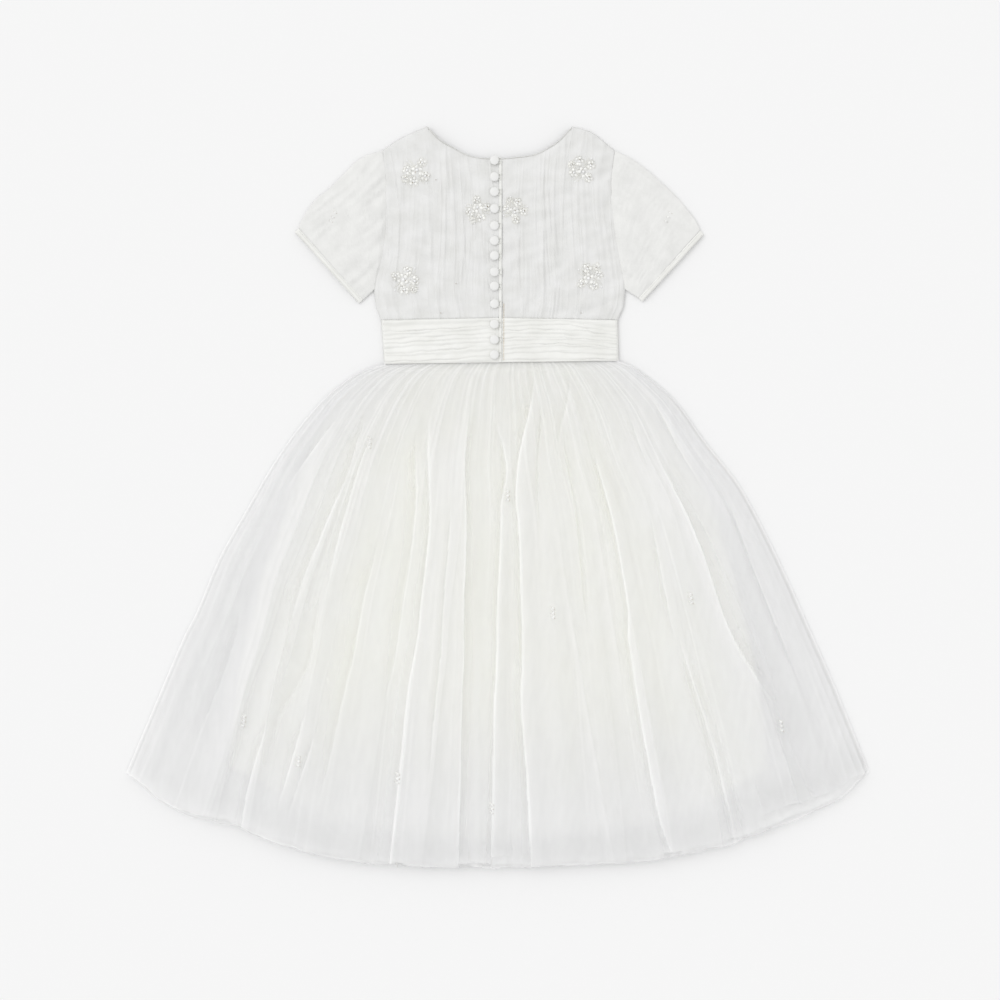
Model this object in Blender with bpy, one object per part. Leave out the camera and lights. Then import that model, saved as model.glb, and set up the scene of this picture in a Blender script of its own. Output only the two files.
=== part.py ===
"""A child's tulle dress, laid flat with its back uppermost.

X runs across the dress, Y from the hem to the neck, and Z up from the surface it lies on.
Sizes and tables are in millimetres, and solid() turns finished points into metres.
"""
import math
from collections import namedtuple

import bpy
import bmesh
import numpy as np

# Driving sizes
SEAM = 0.3
BODY_WALL = 2.6
BODY_LIFT = 3.3
BODY_EASE = 0.35
OPENING_X = 6.0
FRONT_NECK_DROP = 14.0
GATHER_HEIGHT = 1.3
PLACKET_SHARE = 0.1
SASH_FOLD_HEIGHT = 2.2
SLEEVE_WALL = 2.2
SLEEVE_PUFF = 3.2
SLEEVE_FULLNESS = 0.7
SLEEVE_TAPER = 0.75
SLEEVE_CRINKLE = 1.6
SLEEVE_STATIONS = 8
SLEEVE_POINTS = 13
CUFF_WIDTH = 6.0
CUFF_WALL = 2.4
CUFF_HOLLOW = 0.6
CUFF_POINTS = 7
RING_INSET = 0.03
TULLE_WALL = 1.2
SKIRT_EASE = 0.35
FOLD_START = 0.15
FOLD_RISE = 0.5
BUTTON_RADIUS = 5.6
BUTTON_DOME = 3.6
BUTTON_SEGMENTS = 8
SHANK_RADIUS = 2.4
SHANK_HEIGHT = 2.3
LOOP_RADIUS = 3.5
LOOP_CORD = 1.4
LOOP_SEGMENTS = 3
TAPE_WIDTH = 3.6
TAPE_GAP = 0.45
TAPE_RISE = 1.0
SMOOTH_LIMIT = 40.0

# Outlines, one row for each point
Point = namedtuple("Point", "x y")
Side = namedtuple("Side", "y x")
NECK_LEFT = [Point(-91.5, 482), Point(-75, 464.5), Point(-57, 454), Point(-43, 446.5),
             Point(-29, 442), Point(-11, 440.5), Point(6, 440)]
NECK_RIGHT = [Point(6, 440), Point(30, 442.5), Point(48, 445.5), Point(66, 454),
              Point(80, 463.5), Point(97.5, 482)]
SHOULDER_LEFT = [Point(-149, 451), Point(-125, 467), Point(-91.5, 482)]
SHOULDER_RIGHT = [Point(97.5, 482), Point(120, 475.5), Point(152, 451)]
SIDE_LEFT = [Side(230, -151.5), Side(250, -158.5), Side(271, -160.5), Side(290, -156.5), Side(320, -149.5),
             Side(356, -146), Side(406, -145), Side(451, -149)]
SIDE_RIGHT = [Side(230, 156.5), Side(250, 164.5), Side(271, 166), Side(290, 163), Side(320, 157.5),
              Side(356, 152), Side(406, 148), Side(451, 152)]
WAIST_TOP = [Point(-151.5, 230), Point(6, 233), Point(156.5, 230)]
WAIST_SEAM = [Point(-147.5, 172.5), Point(158, 176.5)]
UNDERARM_Y = 271.0
NECK_EASE = (SIDE_LEFT[-1].y - SIDE_LEFT[-2].y) / (SIDE_LEFT[-1].y - SIDE_LEFT[0].y - SEAM)
SLEEVE_FOLD_LEFT = [Point(-149, 451), Point(-166, 446), Point(-181.5, 438), Point(-199, 421),
                    Point(-217, 403), Point(-240, 383), Point(-252, 365), Point(-257, 355), Point(-259, 349)]
SLEEVE_FOLD_RIGHT = [Point(152, 451), Point(174, 440), Point(193, 426.5), Point(211, 411), Point(228, 395),
                     Point(245, 376), Point(259, 357.5), Point(264, 346)]
CUFF_FOOT_LEFT = Point(-175.5, 256)
CUFF_FOOT_RIGHT = Point(184, 258.5)

# Skirt sides from the waist seam to the corner of the hem, and the hem between the corners
SKIRT_LEFT = [Side(172.5, -147.5), Side(166, -169), Side(157.5, -187), Side(146, -204), Side(123.5, -230),
              Side(61, -280), Side(-32.5, -336), Side(-83, -364), Side(-152, -393), Side(-179, -407),
              Side(-253.5, -439), Side(-360, -484)]
SKIRT_RIGHT = [Side(176.5, 158), Side(171.5, 172), Side(165, 183.5), Side(145, 210), Side(123.5, 233),
               Side(71.5, 271), Side(17, 314), Side(-41.5, 346.5), Side(-106.5, 378), Side(-158.5, 401),
               Side(-238, 436), Side(-356, 484)]
HEM = [Point(-484, -360), Point(-462, -374), Point(-447, -389), Point(-431, -401), Point(-407, -412),
       Point(-383, -419), Point(-352, -426), Point(-297, -446), Point(-232, -466), Point(-180, -475),
       Point(-103, -480), Point(0, -482), Point(133, -477), Point(185, -474), Point(220, -469),
       Point(255, -461), Point(302, -451), Point(350, -433), Point(390, -419), Point(444, -393),
       Point(465, -376), Point(484, -356)]

# Lines down the skirt, as shares of the half width at the waist, a third down, two thirds down and at the
# hem. Between one line and the next the layers slope straight down to the side.
Line = namedtuple("Line", "waist third two_thirds hem")
THIRDS = [0.0, 1.0 / 3.0, 2.0 / 3.0, 1.0]
LINES = {
    "level": Line(0.73, 0.73, 0.73, 0.73),
    "lining brink": Line(0.93, 0.87, 0.86, 0.86),
    "side fold": Line(0.945, 0.905, 0.905, 0.905),
    "edge fold": Line(0.960, 0.945, 0.950, 0.950),
    "net edge": Line(0.972, 0.968, 0.972, 0.975),
    "tulle edge": Line(0.986, 0.985, 0.987, 0.990),
    "outline": Line(1.0, 1.0, 1.0, 1.0),
    "lining edge": Line(0.93, 0.865, 0.82, 0.74),
}

# Skirt layers from the surface up. edge is the line where a layer ends, and brink the line up to which the
# layers above it stay raised; the hem lies at left, middle and right, as shares of the outline's length;
# fold is how far its folds rise, gap the most air above it, and splits the steps from one fold to the next.
Layer = namedtuple("Layer", "node edge brink left middle right fold gap splits material")
LAYERS = [
    Layer("overskirt_front", "outline", "outline", 1.000, 1.000, 1.000, 0.0, 2.0, 0, "tulle"),
    Layer("tulle_front", "tulle edge", "tulle edge", 0.995, 0.990, 0.995, 0.0, 1.5, 0, "tulle"),
    Layer("net_front", "net edge", "net edge", 0.985, 0.985, 0.985, 0.0, 1.5, 0, "net"),
    Layer("lining_front", "lining edge", "lining brink", 0.880, 0.940, 0.880, 0.0, 3.2, 0, "lining"),
    Layer("lining_back", "lining edge", "lining brink", 0.880, 0.945, 0.880, 0.0, 1.0, 0, "lining"),
    Layer("net_back", "net edge", "net edge", 0.985, 0.992, 0.990, 0.0, 1.0, 0, "net"),
    Layer("tulle_back", "tulle edge", "tulle edge", 0.995, 0.998, 0.998, 4.5, 1.0, 2, "tulle"),
    Layer("overskirt_back", "outline", "outline", 0.985, 0.990, 0.955, 9.0, 0.0, 3, "tulle"),
]
LINING_BACK = LAYERS[4]
LEVEL_COLUMNS = 10
SKIRT_ROWS = [0.0, 0.015, 0.045, 0.09, 0.17, 0.28, 0.41, 0.55, 0.70, 0.84]
HEM_ROOM = 0.008
HEM_BENDS = [-1.0, -0.6, 0.0, 0.6, 1.0]

# Folds of the back skirt, left to right. The first four columns give each ridge's place across the skirt,
# from -1 at the left edge to 1 at the right, at the waist, a third down, two thirds down and at the hem.
# high and low are its height near the waist and near the hem.
Fold = namedtuple("Fold", "waist third two_thirds hem high low")
FOLDS = [
    Fold(*[-share for share in LINES["edge fold"]], 0.3, 0.4),
    Fold(*[-share for share in LINES["side fold"]], 0.6, 0.6),
    Fold(-0.83, -0.785, -0.78, -0.79, 0.5, 0.7),
    Fold(-0.71, -0.68, -0.695, -0.69, 0.9, 1.0),
    Fold(-0.63, -0.62, -0.59, -0.60, 0.8, 1.0),
    Fold(-0.53, -0.50, -0.49, -0.50, 0.4, 0.3),
    Fold(-0.45, -0.38, -0.38, -0.39, 0.6, 0.6),
    Fold(-0.37, -0.28, -0.285, -0.287, 1.0, 0.9),
    Fold(-0.25, -0.20, -0.20, -0.20, 0.5, 0.3),
    Fold(-0.16, -0.125, -0.12, -0.107, 0.8, 0.9),
    Fold(-0.04, 0.01, 0.0, -0.015, 1.0, 0.9),
    Fold(0.22, 0.085, 0.078, 0.09, 1.0, 1.0),
    Fold(0.35, 0.21, 0.20, 0.21, 0.8, 0.4),
    Fold(0.47, 0.36, 0.33, 0.34, 0.6, 0.5),
    Fold(0.56, 0.465, 0.44, 0.46, 0.9, 1.0),
    Fold(0.63, 0.60, 0.58, 0.62, 0.5, 0.8),
    Fold(0.70, 0.69, 0.69, 0.705, 0.8, 0.5),
    Fold(0.84, 0.77, 0.80, 0.84, 1.0, 1.0),
    Fold(*LINES["side fold"], 0.6, 0.5),
    Fold(*LINES["edge fold"], 0.3, 0.4),
]

# Gathers of one bodice back: each ridge's place from the placket, 0, to the side, 1, at the waist and at
# the top, and its height
Gather = namedtuple("Gather", "waist top height")
GATHERS = [
    Gather(0.14, 0.14, 0.7), Gather(0.20, 0.21, 1.0), Gather(0.26, 0.27, 0.6), Gather(0.33, 0.35, 0.9),
    Gather(0.39, 0.42, 1.0), Gather(0.45, 0.48, 0.5), Gather(0.52, 0.55, 0.9), Gather(0.58, 0.61, 0.8),
    Gather(0.65, 0.68, 1.0), Gather(0.71, 0.74, 0.6), Gather(0.78, 0.80, 0.9), Gather(0.84, 0.86, 0.7),
    Gather(0.91, 0.92, 0.8),
]

# Ruched folds of one sash back: each ridge's height up the sash, from 0 at the skirt to 1 at the bodice,
# at the opening, halfway and at the side, and how far it stands out
Ruche = namedtuple("Ruche", "opening middle side height")
PINCH_SHARES = [0.0, 0.07, 0.16]
PINCH_HEIGHTS = [0.0, 0.2, 1.0]
SASH_SHARES = PINCH_SHARES + [0.3, 0.5, 0.7, 0.85, 1.0]
RUCHES = [
    Ruche(0.10, 0.07, 0.09, 0.8), Ruche(0.26, 0.24, 0.22, 1.0), Ruche(0.40, 0.36, 0.38, 0.7),
    Ruche(0.52, 0.51, 0.50, 1.0), Ruche(0.64, 0.66, 0.62, 0.8), Ruche(0.76, 0.79, 0.77, 1.0),
    Ruche(0.89, 0.92, 0.91, 0.7),
]

# Crinkles across a sleeve: each ridge's place from the shoulder fold, 0, to the underarm, 1, at the
# armhole and at the cuff, and its height
Crinkle = namedtuple("Crinkle", "armhole cuff height")
CRINKLES = [
    Crinkle(0.12, 0.16, 0.8), Crinkle(0.30, 0.36, 1.0), Crinkle(0.46, 0.52, 0.7), Crinkle(0.63, 0.68, 1.0),
    Crinkle(0.82, 0.86, 0.7),
]

# Rings of a button's dome from its edge up, as shares of its radius and of its height
Ring = namedtuple("Ring", "radius height")
BUTTON_RINGS = [Ring(0.9, 0.0), Ring(1.0, 0.25), Ring(0.82, 0.68), Ring(0.42, 0.95)]

# Button centres, from the neck down
BUTTON_X = -4.0
BUTTON_Y = [437.5, 416, 396.5, 374.5, 352.5, 333, 313.5, 292.5, 274, 251, 224.5, 204.5, 185]


def ease(value):
    """Rise smoothly from 0 to 1."""
    value = np.clip(value, 0.0, 1.0)
    return value * value * (3.0 - 2.0 * value)


def through(place, places, values):
    """Read a smooth curve that passes through a table's points without overshooting them."""
    places = np.asarray(places, float)
    values = np.asarray(values, float)
    if places[0] > places[-1]:
        places = places[::-1]
        values = values[::-1]
    step = np.diff(places)
    slope = np.diff(values) / step
    inner = np.where(slope[1:] * slope[:-1] > 0.0,
                     2.0 * slope[1:] * slope[:-1] / np.where(slope[1:] + slope[:-1] == 0.0, 1.0,
                                                             slope[1:] + slope[:-1]), 0.0)
    tangent = np.concatenate([slope[:1], inner, slope[-1:]])
    place = np.clip(place, places[0], places[-1])
    index = np.clip(np.searchsorted(places, place, side="right") - 1, 0, len(step) - 1)
    share = (place - places[index]) / step[index]
    width = step[index]
    return (values[index] * (1.0 + 2.0 * share) * (1.0 - share) ** 2
            + values[index + 1] * share ** 2 * (3.0 - 2.0 * share)
            + tangent[index] * width * share * (1.0 - share) ** 2
            + tangent[index + 1] * width * share ** 2 * (share - 1.0))


def column(rows, name):
    """Take one named column of a table."""
    return np.array([getattr(row, name) for row in rows], float)


def height_of(x, rows):
    """Y of a curved outline at a place across it."""
    return through(x, column(rows, "x"), column(rows, "y"))


def side_of(y, rows):
    """X of a curved side at a height."""
    return through(y, column(rows, "y"), column(rows, "x"))


def seam_height(x, rows):
    """Y of a seam at a place across it, straight between its points so that both pieces meet on it."""
    return np.interp(x, column(rows, "x"), column(rows, "y"))


def seam_side(y, rows):
    """X of a side seam at a height, straight between its points."""
    return np.interp(y, column(rows, "y"), column(rows, "x"))


def patch(across, up, bottom, top, start, end):
    """Blend four edge curves into plan points: bottom and top over across, start and end over up."""
    across, up = np.broadcast_arrays(across, up)
    low = bottom(across)
    high = top(across)
    first = start(up)
    last = end(up)
    zero = np.zeros_like(across)
    one = np.ones_like(across)
    corners = [bottom(zero), bottom(one), top(zero), top(one)]
    points = []
    for axis in range(2):
        blend = (1 - up) * low[axis] + up * high[axis] + (1 - across) * first[axis] + across * last[axis]
        blend = blend - (1 - across) * (1 - up) * corners[0][axis] - across * (1 - up) * corners[1][axis]
        points.append(blend - (1 - across) * up * corners[2][axis] - across * up * corners[3][axis])
    return points[0], points[1]


def ridges(place, centres, heights):
    """Height of a row of rounded ridges with flat valleys halfway between them."""
    number = len(centres)
    centres = np.broadcast_arrays(*centres, place)[:number]
    result = np.zeros_like(centres[0])
    for index, centre in enumerate(centres):
        before = centres[index - 1] if index else 2.0 * centre - centres[1]
        after = centres[index + 1] if index < number - 1 else 2.0 * centre - centres[index - 1]
        reach = np.where(place < centre, centre - before, after - centre) / 2.0
        share = np.clip(np.abs(place - centre) / reach, 0.0, 1.0)
        result = result + heights[index] * np.cos(share * math.pi / 2.0) ** 2
    return result


def solid(name, points, faces, material):
    """Make one closed solid from points in millimetres."""
    mesh = bpy.data.meshes.new(name)
    mesh.from_pydata([tuple(value * 0.001 for value in point) for point in points], [], faces)
    body = bmesh.new()
    body.from_mesh(mesh)
    bmesh.ops.recalc_face_normals(body, faces=body.faces)
    body.to_mesh(mesh)
    body.free()
    mesh.shade_smooth()
    mesh.set_sharp_from_angle(angle=math.radians(SMOOTH_LIMIT))
    mesh.materials.append(material)
    item = bpy.data.objects.new(name, mesh)
    bpy.context.scene.collection.objects.link(item)
    return item


def quad(a, b, c, d):
    """Split a four-sided face along the same diagonal everywhere, so that nested walls stay apart."""
    return [(a, b, c), (a, c, d)]


def wall(name, upper, lower, material):
    """Close two grids of points, one over the other, into a wall of cloth."""
    across, along = upper.shape[:2]
    points = np.concatenate([upper.reshape(-1, 3), lower.reshape(-1, 3)])
    under = across * along
    faces = []
    for i in range(across - 1):
        for j in range(along - 1):
            a = i * along + j
            b = a + along
            faces += quad(a, b, b + 1, a + 1)
            faces += [face[::-1] for face in quad(a + under, b + under, b + under + 1, a + under + 1)]
    rim = [i * along for i in range(across)]
    rim += [(across - 1) * along + j for j in range(1, along)]
    rim += [i * along + along - 1 for i in range(across - 2, -1, -1)]
    rim += list(range(along - 2, 0, -1))
    for a, b in zip(rim, rim[1:] + rim[:1]):
        faces += quad(a, a + under, b + under, b)
    return solid(name, points, faces, material)


def tube(name, outer, inner, material):
    """Close an outer and an inner sleeve of rings into a flattened tube that is open at both ends."""
    rings, around = outer.shape[:2]
    points = np.concatenate([outer.reshape(-1, 3), inner.reshape(-1, 3)])
    under = rings * around
    faces = []
    for j in range(around):
        k = (j + 1) % around
        for i in range(rings - 1):
            a, b = i * around + j, (i + 1) * around + j
            c, d = (i + 1) * around + k, i * around + k
            faces += quad(a, b, c, d)
            faces += [face[::-1] for face in quad(a + under, b + under, c + under, d + under)]
        last = (rings - 1) * around
        faces += quad(j, k, k + under, j + under)
        faces += quad(last + j, last + j + under, last + k + under, last + k)
    return solid(name, points, faces, material)


def body_lift(side_share, top_share):
    """Air between the two layers of the body, which close together at the sides and the top."""
    return BODY_LIFT * ease((1.0 - side_share) / BODY_EASE) * np.clip((1.0 - top_share) / NECK_EASE, 0.0, 1.0)


def bodice_side(sign):
    """The outlines of one half of the bodice."""
    if sign < 0:
        return SIDE_LEFT, SHOULDER_LEFT, NECK_LEFT
    return SIDE_RIGHT, SHOULDER_RIGHT, NECK_RIGHT


def top_edge(x, sign, drop=0.0):
    """Y of the neckline and the shoulder seam at a place across the bodice."""
    _, shoulder, neck = bodice_side(sign)
    tip = neck[0] if sign < 0 else neck[-1]
    inside = np.abs(x) < abs(tip.x)
    scoop = height_of(x, neck) - drop * ease((abs(tip.x) - np.abs(x)) / abs(tip.x) * 2.0)
    return np.where(inside, scoop, height_of(x, shoulder))


def half_plan(share, up, sign, start_x, drop=0.0):
    """Plan points of half the bodice, from the opening at 0 to the side at 1, and from the waist up."""
    side, _, _ = bodice_side(sign)
    foot_x = side[0].x
    head_x = side[-1].x

    def bottom(a):
        x = start_x + (foot_x - start_x) * a
        return x, seam_height(x, WAIST_TOP) + SEAM

    def top(a):
        x = start_x + (head_x - start_x) * a
        return x, top_edge(x, sign, drop)

    def start(b):
        low = float(seam_height(start_x, WAIST_TOP)) + SEAM
        high = float(top_edge(np.array(start_x), sign, drop))
        return start_x + 0.0 * b, low + (high - low) * b

    def end(b):
        low = float(seam_height(foot_x, WAIST_TOP)) + SEAM
        y = low + (side[-1].y - low) * b
        return seam_side(y, side), y

    return patch(share, up, bottom, top, start, end)


def bodice_columns(sign, start_x):
    """Shares across one bodice back: ridges and valleys of the gathers, with one at the shoulder tip."""
    _, _, neck = bodice_side(sign)
    tip_x = neck[0].x if sign < 0 else neck[-1].x
    head_x = bodice_side(sign)[0][-1].x
    tip = (tip_x - start_x) / (head_x - start_x)
    places = [0.0, PLACKET_SHARE]
    for first, second in zip(GATHERS, GATHERS[1:] + [Gather(1.0, 1.0, 0.0)]):
        places += [first.top, (first.top + second.top) / 2.0]
    places += [1.0]
    places = np.array(places)
    places[np.argmin(np.abs(places - tip))] = tip
    return places


def bodice_rows(sign):
    """Shares up the bodice, one at each point of its side, where the sleeve's seam meets it."""
    levels = column(bodice_side(sign)[0], "y")
    low = levels[0] + SEAM
    return np.concatenate([[0.0], (levels[1:] - low) / (levels[-1] - low)])


def bodice_top(share, up):
    """Height of the plain outer face of the bodice back."""
    return 2.0 * BODY_WALL + SEAM + body_lift(share, up)


def bodice_back(name, sign, material):
    """One half of the bodice back, with its gathers raised in the outer face."""
    start_x = OPENING_X + sign * SEAM / 2.0
    share, up = np.meshgrid(bodice_columns(sign, start_x), bodice_rows(sign), indexing="ij")
    x, y = half_plan(share, up, sign, start_x)
    centres = [row.waist + (row.top - row.waist) * up for row in GATHERS]
    raised = GATHER_HEIGHT * ridges(share, centres, column(GATHERS, "height"))
    upper = np.stack([x, y, bodice_top(share, up) + raised], -1)
    lower = np.stack([x, y, bodice_top(share, up) - BODY_WALL], -1)
    return wall(name, upper, lower, material)


def bodice_front(name, material):
    """The bodice front, which lies flat under the back and is cut lower at the neck."""
    halves = []
    for sign in (-1, 1):
        side, _, neck = bodice_side(sign)
        tip_x = neck[0].x if sign < 0 else neck[-1].x
        tip = (tip_x - OPENING_X) / (side[-1].x - OPENING_X)
        places = np.concatenate([np.linspace(0.0, tip, 7), [(tip + 1.0) / 2.0, 1.0]])
        share, up = np.meshgrid(places, bodice_rows(sign), indexing="ij")
        x, y = half_plan(share, up, sign, OPENING_X, FRONT_NECK_DROP)
        halves.append(np.stack([x, y, 0.0 * x], -1))
    lower = np.concatenate([halves[0][:0:-1], halves[1]])
    upper = lower + np.array([0.0, 0.0, BODY_WALL])
    return wall(name, upper, lower, material)


def sash_plan(share, up, sign, start_x):
    """Plan points of one half of the sash, from the skirt at 0 up to the bodice at 1."""
    foot = WAIST_SEAM[0] if sign < 0 else WAIST_SEAM[-1]
    head = WAIST_TOP[0] if sign < 0 else WAIST_TOP[-1]

    def bottom(a):
        x = start_x + (foot.x - start_x) * a
        return x, seam_height(x, WAIST_SEAM) + SEAM

    def top(a):
        x = start_x + (head.x - start_x) * a
        return x, seam_height(x, WAIST_TOP)

    def start(b):
        low = float(seam_height(start_x, WAIST_SEAM)) + SEAM
        high = float(seam_height(start_x, WAIST_TOP))
        return start_x + 0.0 * b, low + (high - low) * b

    def end(b):
        return foot.x + (head.x - foot.x) * b, foot.y + SEAM + (head.y - foot.y - SEAM) * b

    return patch(share, up, bottom, top, start, end)


def ruche_centres(share):
    """Heights of the ruched folds at a place across the sash."""
    return [np.interp(share, [0.0, 0.5, 1.0], [row.opening, row.middle, row.side]) for row in RUCHES]


def sash_top(share, up):
    """Height of the sash's outer face, whose folds are pinched flat at the opening."""
    raised = SASH_FOLD_HEIGHT * ridges(up, ruche_centres(share), column(RUCHES, "height"))
    pinch = np.interp(share, PINCH_SHARES, PINCH_HEIGHTS)
    return 2.0 * BODY_WALL + SEAM + body_lift(share, 0.0) + raised * pinch


def sash_back(name, sign, material):
    """One half of the ruched sash on the back."""
    start_x = OPENING_X + sign * SEAM / 2.0
    share = np.array(SASH_SHARES)
    slots = np.arange(2 * len(RUCHES) + 1)
    up = np.empty((len(share), len(slots)))
    for index, place in enumerate(share):
        centres = [float(centre) for centre in ruche_centres(place)]
        valleys = [0.0] + [(a + b) / 2.0 for a, b in zip(centres, centres[1:])] + [1.0]
        up[index, 0::2] = valleys
        up[index, 1::2] = centres
    share = np.repeat(share[:, None], len(slots), axis=1)
    x, y = sash_plan(share, up, sign, start_x)
    upper = np.stack([x, y, sash_top(share, up)], -1)
    lower = np.stack([x, y, BODY_WALL + SEAM + body_lift(share, 0.0)], -1)
    return wall(name, upper, lower, material)


def sash_front(name, material):
    """The front of the sash, flat on the surface."""
    halves = []
    for sign in (-1, 1):
        share, up = np.meshgrid(np.linspace(0.0, 1.0, 5), np.linspace(0.0, 1.0, 3), indexing="ij")
        x, y = sash_plan(share, up, sign, OPENING_X)
        halves.append(np.stack([x, y, 0.0 * x], -1))
    lower = np.concatenate([halves[0][:0:-1], halves[1]])
    upper = lower + np.array([0.0, 0.0, BODY_WALL])
    return wall(name, upper, lower, material)


def sleeve_plan(out, down, sign):
    """Plan points of a sleeve, from the armhole at 0 out to the cuff at 1, and from the fold down."""
    side, _, _ = bodice_side(sign)
    fold = SLEEVE_FOLD_LEFT if sign < 0 else SLEEVE_FOLD_RIGHT
    foot = CUFF_FOOT_LEFT if sign < 0 else CUFF_FOOT_RIGHT
    head_y = side[-1].y
    shift = sign * SEAM

    def bottom(a):
        x = fold[0].x + shift + (fold[-1].x - fold[0].x - shift) * a
        return x, height_of(x, fold)

    def top(a):
        x = float(seam_side(UNDERARM_Y, side)) + shift
        return x + (foot.x - x) * a, UNDERARM_Y + (foot.y - UNDERARM_Y) * a

    def start(b):
        y = head_y + (UNDERARM_Y - head_y) * b
        return seam_side(y, side) + shift, y

    def end(b):
        return fold[-1].x + (foot.x - fold[-1].x) * b, fold[-1].y + (foot.y - fold[-1].y) * b

    return patch(out, down, bottom, top, start, end)


def ring_shares(count, is_inner):
    """Places round a flattened ring: down its upper layer and back along its lower one."""
    inset = RING_INSET if is_inner else 0.0
    places = inset + (1.0 - 2.0 * inset) * (1.0 - np.cos(np.linspace(0.0, math.pi, count))) / 2.0
    return np.concatenate([places, places[::-1]]), np.arange(2 * count) < count


def sleeve_rise(out, down):
    """Air inside a sleeve, least at its folds, its seam and its cuff."""
    swell = np.sin(math.pi * np.clip(down, 0.0, 1.0)) ** SLEEVE_FULLNESS
    return SLEEVE_PUFF * swell * (1.0 - SLEEVE_TAPER * out ** 2)


def sleeve(name, sign, material):
    """A short puffed sleeve, pressed flat as a tube that is open at the armhole and the cuff."""
    stations = np.linspace(0.0, 1.0, SLEEVE_STATIONS)
    grids = []
    for is_inner in (False, True):
        places, on_top = ring_shares(SLEEVE_POINTS, is_inner)
        out, down = np.meshgrid(stations, places, indexing="ij")
        x, y = sleeve_plan(out, down, sign)
        roof = 2.0 * SLEEVE_WALL + SEAM + sleeve_rise(out, down)
        if is_inner:
            z = np.where(on_top[None, :], roof - SLEEVE_WALL, SLEEVE_WALL)
        else:
            centres = [row.armhole + (row.cuff - row.armhole) * out for row in CRINKLES]
            raised = SLEEVE_CRINKLE * ridges(down, centres, column(CRINKLES, "height"))
            z = np.where(on_top[None, :], roof + raised, 0.0)
        grids.append(np.stack([x, y, z], -1))
    return tube(name, grids[0], grids[1], material)


def cuff(name, sign, material):
    """The narrow binding round the end of a sleeve."""
    fold = SLEEVE_FOLD_LEFT if sign < 0 else SLEEVE_FOLD_RIGHT
    foot = CUFF_FOOT_LEFT if sign < 0 else CUFF_FOOT_RIGHT
    run = np.array([foot.x - fold[-1].x, foot.y - fold[-1].y])
    outward = np.array([sign * -run[1], sign * run[0]]) / np.hypot(*run)
    grids = []
    for is_inner in (False, True):
        places, on_top = ring_shares(CUFF_POINTS, is_inner)
        rows = []
        for distance in (SEAM, SEAM + CUFF_WIDTH):
            x = fold[-1].x + run[0] * places + outward[0] * distance
            y = fold[-1].y + run[1] * places + outward[1] * distance
            if is_inner:
                z = np.where(on_top, CUFF_WALL + CUFF_HOLLOW, CUFF_WALL)
            else:
                z = np.where(on_top, 2.0 * CUFF_WALL + CUFF_HOLLOW, 0.0)
            rows.append(np.stack([x, y, z], -1))
        grids.append(np.stack(rows))
    return tube(name, grids[0], grids[1], material)


def skirt_plan(across, down):
    """Plan points inside the skirt's outline: across from -1 to 1, and from the waist at 0 to the hem at 1."""
    share = (across + 1.0) / 2.0
    foot_left, foot_right = HEM[0], HEM[-1]

    def bottom(a):
        x = WAIST_SEAM[0].x + (WAIST_SEAM[-1].x - WAIST_SEAM[0].x) * a
        return x, seam_height(x, WAIST_SEAM)

    def top(a):
        x = foot_left.x + (foot_right.x - foot_left.x) * a
        return x, height_of(x, HEM)

    def edge(rows):
        def points(b):
            y = rows[0].y + (rows[-1].y - rows[0].y) * b
            return side_of(y, rows), y
        return points

    return patch(share, down, bottom, top, edge(SKIRT_LEFT), edge(SKIRT_RIGHT))


def along(row, down):
    """Read a line or a fold's place at a distance down the skirt."""
    return np.interp(down, THIRDS, [row.waist, row.third, row.two_thirds, row.hem])


def fold_wave(across, down):
    """Height of the folds, from 0 in the valleys to 1 on the highest ridge."""
    depth = FOLD_START + (1.0 - FOLD_START) * ease(down / FOLD_RISE)
    heights = [row.high + (row.low - row.high) * down for row in FOLDS]
    return depth * ridges(across, [along(row, down) for row in FOLDS], heights)


def hem_of(layer, across):
    """Where a layer's hem lies, as a share of the outline's length."""
    left_bend = (layer.left + 2.0 * layer.middle) / 3.0
    right_bend = (layer.right + 2.0 * layer.middle) / 3.0
    return np.interp(across, HEM_BENDS, [layer.left, left_bend, layer.middle, right_bend, layer.right])


def slope_from(line, across, down):
    """1 inside a line, and down to 0 at the side of the skirt."""
    room = np.maximum(1.0 - along(LINES[line], down), 1e-6)
    return np.clip((1.0 - np.abs(across)) / room, 0.0, 1.0)


def presence(layer, across, down):
    """1 where a layer lies, and less beyond it, where the layers above come down."""
    beside = 1.0 if layer.brink == "outline" else slope_from(layer.brink, across, down)
    if layer.material != "lining":
        return beside
    room = 1.0 - hem_of(LINING_BACK, across) - HEM_ROOM
    return beside * np.clip((1.0 - down) / room, 0.0, 1.0)


def skirt_height(index, across, down):
    """Height of a layer's under face: all that lies below it, and its own folds."""
    spread = ease(down / SKIRT_EASE) * slope_from("level", across, down)
    total = LAYERS[index].fold * fold_wave(across, down)
    for layer in LAYERS[:index]:
        room = TULLE_WALL + SEAM + (layer.gap - SEAM) * spread
        total = total + room * presence(layer, across, down)
    return total


def skirt_columns(layer, down):
    """Places across a layer: its lines, and its folds or evenly spaced columns between them."""
    names = [name for name in LINES if name != "lining edge"]
    names = names[:names.index(layer.edge) + 1] if layer.edge in names else ["level", layer.edge]
    if layer.splits:
        names = [name for name in names if "fold" not in name]
    lines = [float(along(LINES[name], down)) for name in names]
    if not layer.splits:
        level = lines[0]
        between = np.linspace(-level, level, LEVEL_COLUMNS + 1)[1:-1]
        return np.array([-line for line in reversed(lines)] + list(between) + lines)
    stations = [(line, False) for line in lines] + [(-line, False) for line in lines]
    stations += [(float(along(row, down)), True) for row in FOLDS]
    stations.sort()
    places = []
    for (first, is_fold), (second, is_next) in zip(stations, stations[1:]):
        places.append(first)
        if is_fold and is_next:
            places += [first + (second - first) * step / layer.splits for step in range(1, layer.splits)]
    return np.array(places + [stations[-1][0]])


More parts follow.
